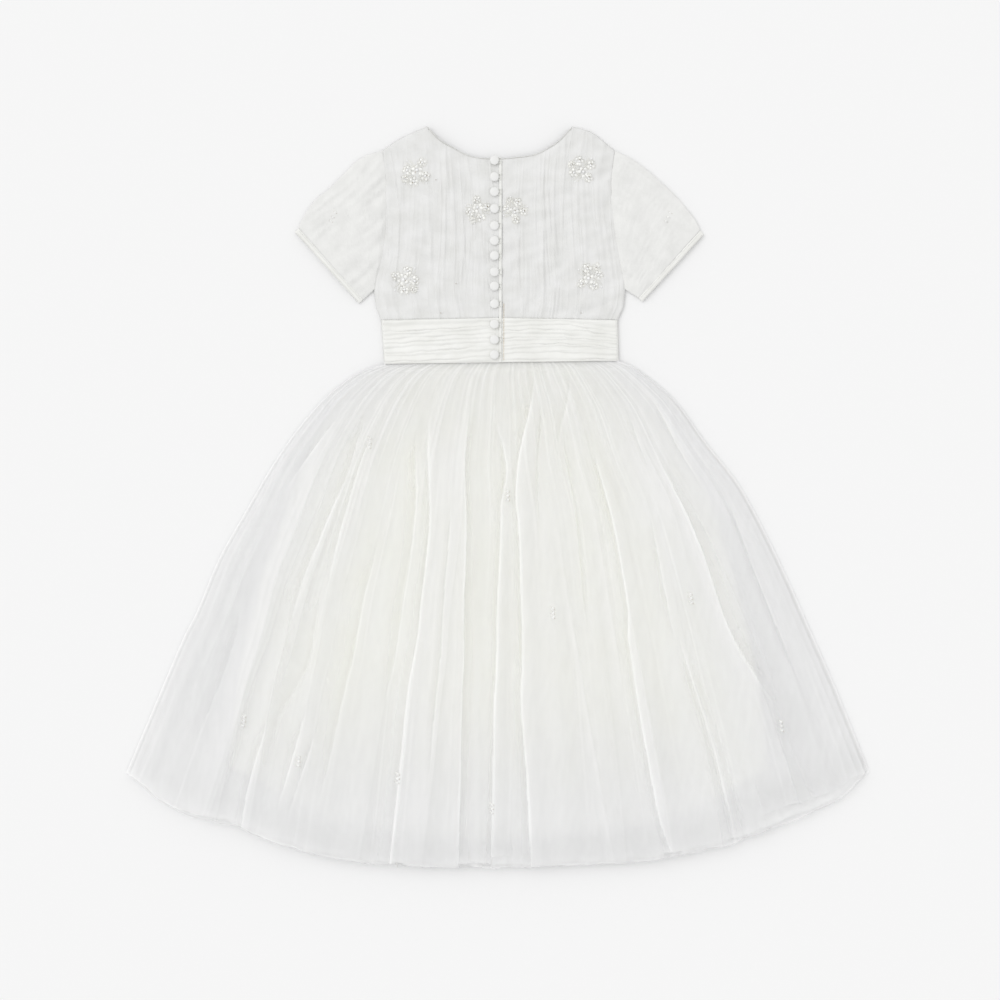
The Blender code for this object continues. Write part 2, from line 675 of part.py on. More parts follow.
def skirt_layer(index, material):
    """One layer of the skirt, as a wall that lies on the layers below it."""
    layer = LAYERS[index]
    grid = []
    for down in SKIRT_ROWS:
        across = skirt_columns(layer, down)
        grid.append(np.stack([across, np.full_like(across, down)], -1))
    if layer.material != "lining":
        across = skirt_columns(layer, hem_of(LINING_BACK, 0.0))
        grid.append(np.stack([across, hem_of(LINING_BACK, across) + HEM_ROOM], -1))
    across = skirt_columns(layer, hem_of(layer, 0.0))
    grid.append(np.stack([across, hem_of(layer, across)], -1))
    grid = np.stack(grid, axis=1)
    across, down = grid[..., 0], grid[..., 1]
    x, y = skirt_plan(across, down)
    under = skirt_height(index, across, down)
    lower = np.stack([x, y, under], -1)
    upper = np.stack([x, y, under + TULLE_WALL], -1)
    return wall(layer.node, upper, lower, material)


def back_surface(x, y):
    """Height of the bodice or the sash beside the opening."""
    share = abs(x - OPENING_X) / abs(SIDE_LEFT[0].x - OPENING_X)
    waist = float(seam_height(OPENING_X, WAIST_TOP))
    if y > waist:
        neck = float(height_of(OPENING_X, NECK_LEFT))
        return float(bodice_top(share, (y - waist) / (neck - waist)))
    foot = float(seam_height(OPENING_X, WAIST_SEAM))
    return float(sash_top(np.array(share), np.array((y - foot) / (waist - foot))))


def button(name, y, material):
    """A covered button: a dome on a shank, seated on the left back."""
    seats = [back_surface(BUTTON_X + dx, y + dy) for dx in (-SHANK_RADIUS, SHANK_RADIUS)
             for dy in (-SHANK_RADIUS, 0.0, SHANK_RADIUS)]
    seat = max(seats) + SEAM
    profile = [(SHANK_RADIUS, 0.0), (SHANK_RADIUS, SHANK_HEIGHT)]
    profile += [(BUTTON_RADIUS * row.radius, SHANK_HEIGHT + BUTTON_DOME * row.height) for row in BUTTON_RINGS]
    points = []
    for radius, height in profile:
        for step in range(BUTTON_SEGMENTS):
            angle = 2.0 * math.pi * step / BUTTON_SEGMENTS
            points.append((BUTTON_X + radius * math.cos(angle), y + radius * math.sin(angle), seat + height))
    faces = [tuple(range(BUTTON_SEGMENTS))]
    for ring in range(len(profile) - 1):
        for step in range(BUTTON_SEGMENTS):
            a = ring * BUTTON_SEGMENTS + step
            b = ring * BUTTON_SEGMENTS + (step + 1) % BUTTON_SEGMENTS
            faces.append((a, b, b + BUTTON_SEGMENTS, a + BUTTON_SEGMENTS))
    points.append((BUTTON_X, y, seat + SHANK_HEIGHT + BUTTON_DOME))
    last = (len(profile) - 1) * BUTTON_SEGMENTS
    for step in range(BUTTON_SEGMENTS):
        faces.append((last + step, last + (step + 1) % BUTTON_SEGMENTS, len(points) - 1))
    return solid(name, points, faces, material)


def button_loops(name, material):
    """A narrow tape along the opening with a cord loop round the shank of each button."""
    tape_right = OPENING_X - SEAM
    tape_left = tape_right - TAPE_WIDTH
    outer = LOOP_RADIUS + LOOP_CORD / 2.0
    inner = LOOP_RADIUS - LOOP_CORD / 2.0
    head = float(height_of(OPENING_X, NECK_LEFT)) - SEAM
    foot = float(seam_height(OPENING_X, WAIST_SEAM)) + 2.0 * SEAM
    levels = [head]
    for y in BUTTON_Y:
        levels += [y + outer, y + inner, y - inner, y - outer]
    levels.append(foot)
    if levels[1] > levels[0]:
        levels[0] = levels[1] + TAPE_RISE
    plan = []
    for y in levels:
        plan += [(tape_left, y), (tape_right, y)]
    cells = [(2 * i, 2 * i + 1, 2 * i + 3, 2 * i + 2) for i in range(len(levels) - 1)]
    for index, y in enumerate(BUTTON_Y):
        first = 2 * (1 + 4 * index)
        track = [(first, first + 2)]
        for step in range(LOOP_SEGMENTS + 1):
            angle = math.pi / 2.0 + math.pi * step / LOOP_SEGMENTS
            plan.append((BUTTON_X + outer * math.cos(angle), y + outer * math.sin(angle)))
            plan.append((BUTTON_X + inner * math.cos(angle), y + inner * math.sin(angle)))
            track.append((len(plan) - 2, len(plan) - 1))
        track.append((first + 6, first + 4))
        for (a, b), (c, d) in zip(track, track[1:]):
            cells.append((a, b, d, c))
    return plate(name, plan, cells, material)


def plate(name, plan, cells, material):
    """Close plan cells into a thin plate that lies on the back beside the opening."""
    lower = [(x, y, back_surface(x, y) + TAPE_GAP) for x, y in plan]
    upper = [(x, y, z + LOOP_CORD) for x, y, z in lower]
    under = len(plan)
    faces = []
    edges = {}
    for cell in cells:
        faces.append(cell)
        faces.append(tuple(index + under for index in reversed(cell)))
        for a, b in zip(cell, cell[1:] + cell[:1]):
            edges.setdefault(frozenset((a, b)), []).append((a, b))
    for owners in edges.values():
        if len(owners) == 1:
            a, b = owners[0]
            faces.append((b, a, a + under, b + under))
    return solid(name, lower + upper, faces, material)


def cloth(name, colour, roughness, sheen):
    """A cloth finish."""
    material = bpy.data.materials.new(name)
    material.use_nodes = True
    shader = material.node_tree.nodes["Principled BSDF"]
    shader.inputs["Base Color"].default_value = (*colour, 1.0)
    shader.inputs["Roughness"].default_value = roughness
    shader.inputs["Metallic"].default_value = 0.0
    shader.inputs["Sheen Weight"].default_value = sheen
    material.diffuse_color = (*colour, 1.0)
    return material


def finishes():
    """Every finish of the dress, by name."""
    return {
        "chiffon": cloth("chiffon", (0.80, 0.80, 0.78), 0.75, 0.3),
        "satin": cloth("satin", (0.84, 0.83, 0.78), 0.35, 0.5),
        "covered button": cloth("covered button", (0.86, 0.86, 0.84), 0.45, 0.3),
        "tulle": cloth("tulle", (0.78, 0.78, 0.78), 0.8, 0.2),
        "net": cloth("net", (0.76, 0.76, 0.76), 0.85, 0.1),
        "lining": cloth("lining", (0.82, 0.81, 0.74), 0.5, 0.3),
    }


def clear():
    """Empty the scene."""
    for item in list(bpy.data.objects):
        bpy.data.objects.remove(item, do_unlink=True)


def build():
    """Make every piece of the dress."""
    clear()
    finish = finishes()
    bodice_front("bodice_front", finish["chiffon"])
    sash_front("sash_front", finish["satin"])
    for label, sign in (("left", -1), ("right", 1)):
        bodice_back("bodice_back_" + label, sign, finish["chiffon"])
        sash_back("sash_back_" + label, sign, finish["satin"])
        sleeve("sleeve_" + label, sign, finish["chiffon"])
        cuff("cuff_" + label, sign, finish["satin"])
    for index, layer in enumerate(LAYERS):
        skirt_layer(index, finish[layer.material])
    for index, y in enumerate(BUTTON_Y):
        button("button_%02d" % (index + 1), y, finish["covered button"])
    button_loops("button_loops", finish["satin"])


build()
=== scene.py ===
"""The looks of a child's tulle dress that lies flat with its back uppermost.

Tables are in millimetres, in the frame of the solids, and to_metres() turns finished points into metres.
"""
import math
from collections import namedtuple

import bpy
import numpy as np
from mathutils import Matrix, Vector, noise


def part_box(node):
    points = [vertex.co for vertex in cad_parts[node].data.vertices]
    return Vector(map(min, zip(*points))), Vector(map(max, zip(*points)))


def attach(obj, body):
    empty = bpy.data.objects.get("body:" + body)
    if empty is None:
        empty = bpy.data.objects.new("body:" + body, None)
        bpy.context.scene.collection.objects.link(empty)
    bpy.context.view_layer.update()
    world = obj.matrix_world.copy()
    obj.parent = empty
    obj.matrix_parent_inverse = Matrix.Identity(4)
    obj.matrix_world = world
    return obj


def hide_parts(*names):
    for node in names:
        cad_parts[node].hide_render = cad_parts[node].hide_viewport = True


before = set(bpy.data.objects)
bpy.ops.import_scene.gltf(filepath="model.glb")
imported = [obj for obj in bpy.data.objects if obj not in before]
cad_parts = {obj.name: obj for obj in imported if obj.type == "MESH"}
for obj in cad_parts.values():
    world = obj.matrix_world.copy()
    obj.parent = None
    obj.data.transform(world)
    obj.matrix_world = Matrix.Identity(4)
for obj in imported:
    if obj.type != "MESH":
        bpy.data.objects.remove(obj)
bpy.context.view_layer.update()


def table(kind, *values):
    """Rows of a table with named columns."""
    return [kind(*value) for value in values]


# Sizes that the solids have too
SEAM = 0.3
BODY_WALL = 2.6
BODY_LIFT = 3.3
BODY_EASE = 0.35
OPENING_X = 6.0
FRONT_NECK_DROP = 14.0
GATHER_HEIGHT = 1.3
SLEEVE_WALL = 2.2
SLEEVE_PUFF = 3.2
SLEEVE_FULLNESS = 0.7
SLEEVE_TAPER = 0.75
CUFF_WIDTH = 6.0
TULLE_WALL = 1.2
SKIRT_EASE = 0.35
FOLD_START = 0.15
FOLD_RISE = 0.5
BUTTON_X = -4.0
BUTTON_RADIUS = 5.6
BUTTON_HEIGHT = 5.9
SHANK_RADIUS = 2.4
SHANK_HEIGHT = 2.3
LOOP_RADIUS = 3.5
UNDERARM_Y = 271.0

Point = namedtuple("Point", "x y")
Side = namedtuple("Side", "y x")
NECK_LEFT = table(Point, (-91.5, 482), (-75, 464.5), (-57, 454), (-43, 446.5), (-29, 442), (-11, 440.5),
                  (6, 440))
NECK_RIGHT = table(Point, (6, 440), (30, 442.5), (48, 445.5), (66, 454), (80, 463.5), (97.5, 482))
SHOULDER_LEFT = table(Point, (-149, 451), (-125, 467), (-91.5, 482))
SHOULDER_RIGHT = table(Point, (97.5, 482), (120, 475.5), (152, 451))
SIDE_LEFT = table(Side, (230, -151.5), (250, -158.5), (271, -160.5), (290, -156.5), (320, -149.5),
                  (356, -146), (406, -145), (451, -149))
SIDE_RIGHT = table(Side, (230, 156.5), (250, 164.5), (271, 166), (290, 163), (320, 157.5), (356, 152),
                   (406, 148), (451, 152))
WAIST_TOP = table(Point, (-151.5, 230), (6, 233), (156.5, 230))
WAIST_SEAM = table(Point, (-147.5, 172.5), (158, 176.5))
NECK_EASE = (SIDE_LEFT[-1].y - SIDE_LEFT[-2].y) / (SIDE_LEFT[-1].y - SIDE_LEFT[0].y - SEAM)
SLEEVE_FOLD_LEFT = table(Point, (-149, 451), (-166, 446), (-181.5, 438), (-199, 421), (-217, 403),
                         (-240, 383), (-252, 365), (-257, 355), (-259, 349))
SLEEVE_FOLD_RIGHT = table(Point, (152, 451), (174, 440), (193, 426.5), (211, 411), (228, 395), (245, 376),
                          (259, 357.5), (264, 346))
CUFF_FOOT_LEFT = Point(-175.5, 256)
CUFF_FOOT_RIGHT = Point(184, 258.5)
SKIRT_LEFT = table(Side, (172.5, -147.5), (166, -169), (157.5, -187), (146, -204), (123.5, -230), (61, -280),
                   (-32.5, -336), (-83, -364), (-152, -393), (-179, -407), (-253.5, -439), (-360, -484))
SKIRT_RIGHT = table(Side, (176.5, 158), (171.5, 172), (165, 183.5), (145, 210), (123.5, 233), (71.5, 271),
                    (17, 314), (-41.5, 346.5), (-106.5, 378), (-158.5, 401), (-238, 436), (-356, 484))
HEM = table(Point, (-484, -360), (-462, -374), (-447, -389), (-431, -401), (-407, -412), (-383, -419),
            (-352, -426), (-297, -446), (-232, -466), (-180, -475), (-103, -480), (0, -482), (133, -477),
            (185, -474), (220, -469), (255, -461), (302, -451), (350, -433), (390, -419), (444, -393),
            (465, -376), (484, -356))

# Lines down the skirt: how far across it they lie, as a share of its half width, at the waist, at a third,
# at two thirds and at the hem
THIRDS = [0.0, 1.0 / 3.0, 2.0 / 3.0, 1.0]
HEM_BENDS = [-1.0, -0.6, 0.0, 0.6, 1.0]
HEM_ROOM = 0.008
Line = namedtuple("Line", "waist third two_thirds hem")
LINES = {
    "level": Line(0.73, 0.73, 0.73, 0.73),
    "lining brink": Line(0.93, 0.87, 0.86, 0.86),
    "side fold": Line(0.945, 0.905, 0.905, 0.905),
    "edge fold": Line(0.960, 0.945, 0.950, 0.950),
    "net edge": Line(0.972, 0.968, 0.972, 0.975),
    "tulle edge": Line(0.986, 0.985, 0.987, 0.990),
    "outline": Line(1.0, 1.0, 1.0, 1.0),
    "lining edge": Line(0.93, 0.865, 0.82, 0.74),
}
# Layers of the skirt, from the surface up. edge is the line of their sides, and brink the line past which the
# layers above come down. left, middle and right say where the hem lies, as shares of the length. fold is how
# high the folds stand and gap the air above, in millimetres.
Layer = namedtuple("Layer", "node edge brink left middle right fold gap finish")
LAYERS = [
    Layer("overskirt_front", "outline", "outline", 1.000, 1.000, 1.000, 0.0, 2.0, "tulle"),
    Layer("tulle_front", "tulle edge", "tulle edge", 0.995, 0.990, 0.995, 0.0, 1.5, "tulle"),
    Layer("net_front", "net edge", "net edge", 0.985, 0.985, 0.985, 0.0, 1.5, "net"),
    Layer("lining_front", "lining edge", "lining brink", 0.880, 0.940, 0.880, 0.0, 3.2, "lining"),
    Layer("lining_back", "lining edge", "lining brink", 0.880, 0.945, 0.880, 0.0, 1.0, "lining"),
    Layer("net_back", "net edge", "net edge", 0.985, 0.992, 0.990, 0.0, 1.0, "net"),
    Layer("tulle_back", "tulle edge", "tulle edge", 0.995, 0.998, 0.998, 4.5, 1.0, "tulle"),
    Layer("overskirt_back", "outline", "outline", 0.985, 0.990, 0.955, 9.0, 0.0, "tulle"),
]
LINING_BACK = LAYERS[4]
# Broad folds of the skirt: where they lie across it, as the lines do, and how high they stand at the waist
# (high) and at the hem (low)
Fold = namedtuple("Fold", "waist third two_thirds hem high low")
FOLDS = [
    Fold(*[-share for share in LINES["edge fold"]], 0.3, 0.4),
    Fold(*[-share for share in LINES["side fold"]], 0.6, 0.6),
    Fold(-0.83, -0.785, -0.78, -0.79, 0.5, 0.7),
    Fold(-0.71, -0.68, -0.695, -0.69, 0.9, 1.0),
    Fold(-0.63, -0.62, -0.59, -0.60, 0.8, 1.0),
    Fold(-0.53, -0.50, -0.49, -0.50, 0.4, 0.3),
    Fold(-0.45, -0.38, -0.38, -0.39, 0.6, 0.6),
    Fold(-0.37, -0.28, -0.285, -0.287, 1.0, 0.9),
    Fold(-0.25, -0.20, -0.20, -0.20, 0.5, 0.3),
    Fold(-0.16, -0.125, -0.12, -0.107, 0.8, 0.9),
    Fold(-0.04, 0.01, 0.0, -0.015, 1.0, 0.9),
    Fold(0.22, 0.085, 0.078, 0.09, 1.0, 1.0),
    Fold(0.35, 0.21, 0.20, 0.21, 0.8, 0.4),
    Fold(0.47, 0.36, 0.33, 0.34, 0.6, 0.5),
    Fold(0.56, 0.465, 0.44, 0.46, 0.9, 1.0),
    Fold(0.63, 0.60, 0.58, 0.62, 0.5, 0.8),
    Fold(0.70, 0.69, 0.69, 0.705, 0.8, 0.5),
    Fold(0.84, 0.77, 0.80, 0.84, 1.0, 1.0),
    Fold(*LINES["side fold"], 0.6, 0.5),
    Fold(*LINES["edge fold"], 0.3, 0.4),
]
# Rounded gathers of the bodice: where they lie from the opening to the side, at the waist and at the top
Gather = namedtuple("Gather", "waist top height")
GATHERS = table(Gather, (0.14, 0.14, 0.7), (0.20, 0.21, 1.0), (0.26, 0.27, 0.6), (0.33, 0.35, 0.9),
                (0.39, 0.42, 1.0), (0.45, 0.48, 0.5), (0.52, 0.55, 0.9), (0.58, 0.61, 0.8),
                (0.65, 0.68, 1.0), (0.71, 0.74, 0.6), (0.78, 0.80, 0.9), (0.84, 0.86, 0.7),
                (0.91, 0.92, 0.8))
BUTTON_Y = [437.5, 416, 396.5, 374.5, 352.5, 333, 313.5, 292.5, 274, 251, 224.5, 204.5, 185]

# Lengths that turn shares of a piece into millimetres
HALF_BODICE = 154.0
BODICE_LENGTH = 220.0
SIDE_LENGTH = SIDE_LEFT[-1].y - SIDE_LEFT[0].y
HALF_SASH = 150.0
SASH_HEIGHT = 57.0
SLEEVE_LENGTH = 110.0
CUFF_LENGTH = 118.0

# Finer form of the cloth. A back panel and a front panel turn towards each other at the side, to the heights
# of their rims, and the right half of the back goes on under the left one.
CLOTH_THICKNESS = 0.7
LINING_THICKNESS = 0.4
BINDING_THICKNESS = 1.2
TURN = 3.5
TUCK = 1.5
BACK_RIM = 3.1
FRONT_RIM = 2.4
SLEEVE_MIDDLE = 2.35
OPENING_GAP = 0.35
UNDERLAP_WIDTH = 5.0
UNDERLAP_DEPTH = 0.9
STEP_WIDTH = 0.0012

# Sharp folds of the top skirt. track gives points as (down, across) shares. rise is how strongly the fold
# stands up, reach how far its flap runs to the right, or to the left below 0, and pile how
# much denser the doubled cloth looks; below 0 it draws the cloth thinner and greyer, as painted shade in
# a trough.
Crease = namedtuple("Crease", "track rise reach pile")
CREASES = [
    Crease([(.11, -.698), (.235, -.667), (.31, -.682), (.413, -.693), (.60, -.705)], 1.6, 8, .20),
    Crease([(.08, -.745), (.157, -.722), (.28, -.680)], -1.0, -6, -.08),
    Crease([(.117, -.627), (.337, -.625), (.50, -.600)], 1.4, 9, .16),
    Crease([(.10, -.842), (.19, -.868), (.31, -.90)], 1.2, 6, .18),
    Crease([(.10, -.367), (.272, -.29), (.372, -.275), (.503, -.27), (.627, -.285), (.99, -.288)],
           2.6, 16, .30),
    Crease([(.12, -.42), (.272, -.35), (.45, -.335), (.70, -.355)], 1.0, 8, .10),
    Crease([(.06, -.165), (.503, -.122), (.99, -.107)], 1.8, -12, .10),
    Crease([(.10, -.022), (.172, .042), (.207, .052), (.288, .012), (.392, .005), (.747, -.012),
            (.99, -.016)], 2.4, 5, .30),
    Crease([(.01, .278), (.123, .16), (.21, .103), (.28, .078), (.37, .083), (.508, .085), (.67, .075),
            (.818, .085), (.99, .092)], 3.0, 11, .28),
    Crease([(.05, .262), (.093, .25), (.282, .175), (.36, .165)], -1.3, 4, -.12),
    Crease([(.01, .53), (.145, .328), (.20, .30)], 1.4, 5, .14),
    Crease([(.12, .342), (.253, .318), (.373, .305), (.56, .297)], -1.1, -6, -.08),
    Crease([(.17, .484), (.29, .463), (.485, .46), (.567, .44), (.698, .44), (.81, .443), (.913, .45),
            (.99, .468)], 2.6, 6, .34),
    Crease([(.08, .722), (.195, .705), (.26, .70)], 1.2, 5, .14),
    Crease([(.18, .755), (.28, .748), (.35, .755), (.43, .762), (.528, .762), (.585, .77), (.673, .80),
            (.77, .838)], 3.0, -9, .26),
    Crease([(.28, .788), (.41, .81), (.52, .802), (.76, .85)], -1.2, 8, -.10),
    Crease([(.56, .605), (.72, .625), (.83, .635), (.99, .640)], 2.2, 4, .24),
    Crease([(.58, .628), (.72, .652), (.83, .662), (.99, .668)], -1.2, 12, -.16),
    Crease([(.46, -.628), (.633, -.615), (.74, -.655), (.90, -.672)], -1.1, 7, -.12),
    Crease([(.74, -.688), (.893, -.695), (.99, -.688)], 1.6, 6, .16),
    Crease([(.70, -.584), (.823, -.597), (.95, -.608)], 1.6, 5, .22),
    Crease([(.74, -.542), (.865, -.565), (.95, -.575)], 1.2, 5, .18),
    Crease([(.54, -.875), (.682, -.855), (.86, -.868)], -1.0, 8, -.08),
    Crease([(.30, .935), (.50, .915), (.75, .925)], 1.2, 6, .10),
    Crease([(.05, .90), (.15, .88), (.30, .865)], 1.2, 6, .12),
    Crease([(.30, .62), (.45, .60), (.60, .59)], 0.9, 8, .08),
    Crease([(.25, -.20), (.50, -.19), (.85, -.20)], 0.8, 6, .08),
    Crease([(.35, -.47), (.60, -.48), (.90, -.50)], 0.8, 8, .06),
]

# Steps in the hem of the top skirt, where its folds end higher or lower: from and to across, and the share
# of the length at each end of the step
HemStep = namedtuple("HemStep", "start end first last")
HEM_STEPS = table(HemStep, (-1.00, -0.912, 0.998, 0.996), (-0.912, -0.732, 0.995, 0.989),
                  (-0.732, -0.63, 0.991, 0.997), (-0.63, -0.28, 0.999, 0.996), (-0.28, -0.215, 0.992, 0.999),
                  (-0.215, -0.105, 0.999, 0.999), (-0.105, -0.022, 0.988, 0.990),
                  (-0.022, 0.038, 0.976, 0.975), (0.038, 0.275, 0.997, 0.998), (0.275, 0.448, 0.999, 0.999),
                  (0.448, 0.495, 0.986, 0.990), (0.495, 0.623, 1.000, 0.999), (0.623, 0.672, 0.979, 0.974),
                  (0.672, 0.723, 0.998, 1.000), (0.723, 0.795, 0.966, 0.962), (0.795, 0.975, 0.963, 0.982),
                  (0.975, 1.00, 0.984, 0.993))


# Shapes
def ease(value):
    """Rise smoothly from 0 to 1."""
    value = np.clip(value, 0.0, 1.0)
    return value * value * (3.0 - 2.0 * value)


def near(distance, width):
    """1 at an edge, and smoothly down to 0 at a distance from it."""
    return 1.0 - ease(distance / width)


def bell(distance, width):
    """1 in the middle of a line, and down to almost 0 at twice its width."""
    return np.exp(-(distance / width) ** 2)


def between(first, last, share):
    """A value part of the way from the first to the last."""
    return first + (last - first) * share


def through(place, places, values):
    """Read a smooth curve that passes through a table's points without overshooting them."""
    places = np.asarray(places, float)
    values = np.asarray(values, float)
    if places[0] > places[-1]:
        places = places[::-1]
        values = values[::-1]
    step = np.diff(places)
    slope = np.diff(values) / step
    both = slope[1:] + slope[:-1]
    inner = np.where(slope[1:] * slope[:-1] > 0.0,
                     2.0 * slope[1:] * slope[:-1] / np.where(both == 0.0, 1.0, both), 0.0)
    tangent = np.concatenate([slope[:1], inner, slope[-1:]])
    place = np.clip(place, places[0], places[-1])
    index = np.clip(np.searchsorted(places, place, side="right") - 1, 0, len(step) - 1)
    share = (place - places[index]) / step[index]
    width = step[index]
    return (values[index] * (1.0 + 2.0 * share) * (1.0 - share) ** 2
            + values[index + 1] * share ** 2 * (3.0 - 2.0 * share)
            + tangent[index] * width * share * (1.0 - share) ** 2
            + tangent[index + 1] * width * share ** 2 * (share - 1.0))


def column(rows, name):
    """Take one named column of a table."""
    return np.array([getattr(row, name) for row in rows], float)


def height_of(x, rows):
    """Y of a curved outline at a place across it."""
    return through(x, column(rows, "x"), column(rows, "y"))


def side_of(y, rows):
    """X of a curved side at a height."""
    return through(y, column(rows, "y"), column(rows, "x"))


def seam_height(x, rows):
    """Y of a seam at a place across it, straight between its points."""
    return np.interp(x, column(rows, "x"), column(rows, "y"))


def over_x(first, last, height):
    """An edge curve from one x to another, whose y is read from its x."""
    def points(share):
        x = between(first, last, share)
        return x, height(x)
    return points


def over_y(first, last, place):
    """An edge curve from one y to another, whose x is read from its y."""
    def points(share):
        y = between(first, last, share)
        return place(y), y
    return points


def straight(first, last):
    """A straight edge from one point to another."""
    def points(share):
        return between(first[0], last[0], share), between(first[1], last[1], share)
    return points


def unit_grid(columns, count):
    """Shares from 0 to 1 in two directions."""
    return np.meshgrid(np.linspace(0.0, 1.0, columns), np.linspace(0.0, 1.0, count), indexing="ij")


def patch(across, up, bottom, top, start, end):
    """Blend four edge curves into plan points: bottom and top over across, start and end over up."""
    across, up = np.broadcast_arrays(across, up)
    low = bottom(across)
    high = top(across)
    first = start(up)
    last = end(up)
    zero = np.zeros_like(across)
    one = np.ones_like(across)
    corners = [bottom(zero), bottom(one), top(zero), top(one)]
    points = []
    for axis in range(2):
        blend = (1 - up) * low[axis] + up * high[axis] + (1 - across) * first[axis] + across * last[axis]
        blend = blend - (1 - across) * (1 - up) * corners[0][axis] - across * (1 - up) * corners[1][axis]
        points.append(blend - (1 - across) * up * corners[2][axis] - across * up * corners[3][axis])
    return points[0], points[1]


def ridges(place, centres, heights, sharpness=2.0):
    """Height of a row of rounded ridges with valleys halfway between them."""
    number = len(centres)
    centres = np.broadcast_arrays(*centres, place)[:number]
    result = np.zeros_like(centres[0])
    for index, centre in enumerate(centres):
        before = centres[index - 1] if index else 2.0 * centre - centres[1]
        after = centres[index + 1] if index < number - 1 else 2.0 * centre - centres[index - 1]
        reach = np.where(place < centre, centre - before, after - centre) / 2.0
        share = np.clip(np.abs(place - centre) / reach, 0.0, 1.0)
        result = result + heights[index] * np.cos(share * math.pi / 2.0) ** sharpness
    return result


def wander(place, seed, length, count=4):
    """A smooth uneven line between about -1 and 1, whose waves are about this long."""
    rng = np.random.default_rng(seed)
    total = 0.0 * place
    for _ in range(count):
        wave = length * rng.uniform(0.6, 1.9)
        total = total + np.sin(2.0 * math.pi * place / wave + rng.uniform(0.0, 6.28))
    return total / count * 1.4


def cloud(x, y, seed, across, along, turn=0.0):
    """Uneven cloth-like noise over plan points, stretched to two lengths and turned by an angle."""
    cosine, sine = math.cos(turn), math.sin(turn)
    u = (x * cosine + y * sine) / across
    v = (y * cosine - x * sine) / along
    flat = [noise.noise(Vector((a, b, seed * 7.3))) for a, b in zip(u.ravel(), v.ravel())]
    return np.array(flat).reshape(x.shape)


def polar(x, y, out, angle):
    """The point at a distance and an angle from a centre."""
    return x + out * math.cos(angle), y + out * math.sin(angle)


def to_metres(points):
    """Turn points in millimetres into metres."""
    return np.asarray(points, float) * 0.001


def to_scene(name, data):
    """Put an object with this data into the scene."""
    item = bpy.data.objects.new(name, data)
    bpy.context.scene.collection.objects.link(item)
    return item


def sheet_mesh(name, grid, finish, weave=None, marks=None, ring=False, down=False):
    """A sheet of cloth through a grid of points. ring closes its second direction, and down turns it over.
    marks are values from 0 to 1 at each point, which a finish reads by name."""
    rows, columns = grid.shape[:2]
    index = np.arange(rows * columns).reshape(rows, columns)
    if ring:
        index = np.concatenate([index, index[:, :1]], axis=1)
    faces = np.stack([index[:-1, :-1], index[1:, :-1], index[1:, 1:], index[:-1, 1:]], -1).reshape(-1, 4)
    if down:
        faces = faces[:, ::-1]
    mesh = bpy.data.meshes.new(name)
    mesh.from_pydata(to_metres(grid.reshape(-1, 3)).tolist(), [], faces.tolist())
    plan = grid[..., :2] if weave is None else weave
    layer = mesh.uv_layers.new(name="weave")
    order = np.empty(len(mesh.loops), dtype=np.int32)
    mesh.loops.foreach_get("vertex_index", order)
    layer.data.foreach_set("uv", to_metres(plan.reshape(-1, 2))[order].astype(np.float32).ravel())
    for mark, values in (marks or {}).items():
        attribute = mesh.attributes.new(mark, "FLOAT", "POINT")
        attribute.data.foreach_set("value", np.clip(values, 0.0, 1.0).astype(np.float32).ravel())
    mesh.shade_smooth()
    mesh.materials.append(finish)
    return to_scene(name, mesh)


def thicken(item, thickness=CLOTH_THICKNESS):
    """Give a sheet of cloth its thickness, inwards from its face."""
    solidify = item.modifiers.new("thickness", "SOLIDIFY")
    solidify.thickness = thickness * 0.001
    solidify.offset = -1.0
    return item


# Finishes
def colour(code):
    """Turn an sRGB hex colour into linear light."""
    parts = [int(code[index:index + 2], 16) / 255.0 for index in (1, 3, 5)]
    linear = [part / 12.92 if part <= 0.04045 else ((part + 0.055) / 1.055) ** 2.4 for part in parts]
    return (*linear, 1.0)


def add(tree, kind, inputs=None, links=None, **settings):
    """Add a node with its settings, the values of its inputs and the sockets linked into them."""
    node = tree.nodes.new(kind)
    for name, value in settings.items():
        setattr(node, name, value)
    for name, value in (inputs or {}).items():
        node.inputs[name].default_value = value
    for name, socket in (links or {}).items():
        tree.links.new(socket, node.inputs[name])
    return node


def finish(name, base, roughness, sheen=0.0, metallic=0.0, ior=1.5, coat=0.0, specular=0.5):
    """Start a finish and hand back its material, tree and shader."""
    material = bpy.data.materials.new(name)
    material.use_nodes = True
    shader = material.node_tree.nodes["Principled BSDF"]
    values = {"Base Color": colour(base), "Roughness": roughness, "Metallic": metallic, "IOR": ior,
              "Sheen Weight": sheen, "Coat Weight": coat, "Specular IOR Level": specular}
    for socket, value in values.items():
        shader.inputs[socket].default_value = value
    return material, material.node_tree, shader


def weave_place(tree, scale):
    """Coordinates over the cloth, from its own map in metres, scaled."""
    layer = add(tree, "ShaderNodeUVMap", uv_map="weave")
    scaled = add(tree, "ShaderNodeMapping", {"Scale": (*scale, 1.0)}, {"Vector": layer.outputs["UV"]})
    return scaled.outputs["Vector"]


def over_weave(tree, kind, scale, inputs, **settings):
    """A pattern of some kind over the cloth, from 0 to 1. scale counts its repeats in a metre, both ways."""
    pattern = add(tree, kind, {"Scale": 1.0, **inputs}, {"Vector": weave_place(tree, scale)}, **settings)
    return pattern.outputs["Fac"]


def mottle(tree, shader, light, dark, scale):
    """Colour that drifts between two close tints."""
    cloudy = over_weave(tree, "ShaderNodeTexNoise", (scale, scale), {"Detail": 3.0})
    ramp = add(tree, "ShaderNodeValToRGB", links={"Fac": cloudy})
    for element, position, tint in zip(ramp.color_ramp.elements, (0.35, 0.65), (dark, light)):
        element.position = position
        element.color = colour(tint)
    tree.links.new(ramp.outputs["Color"], shader.inputs["Base Color"])


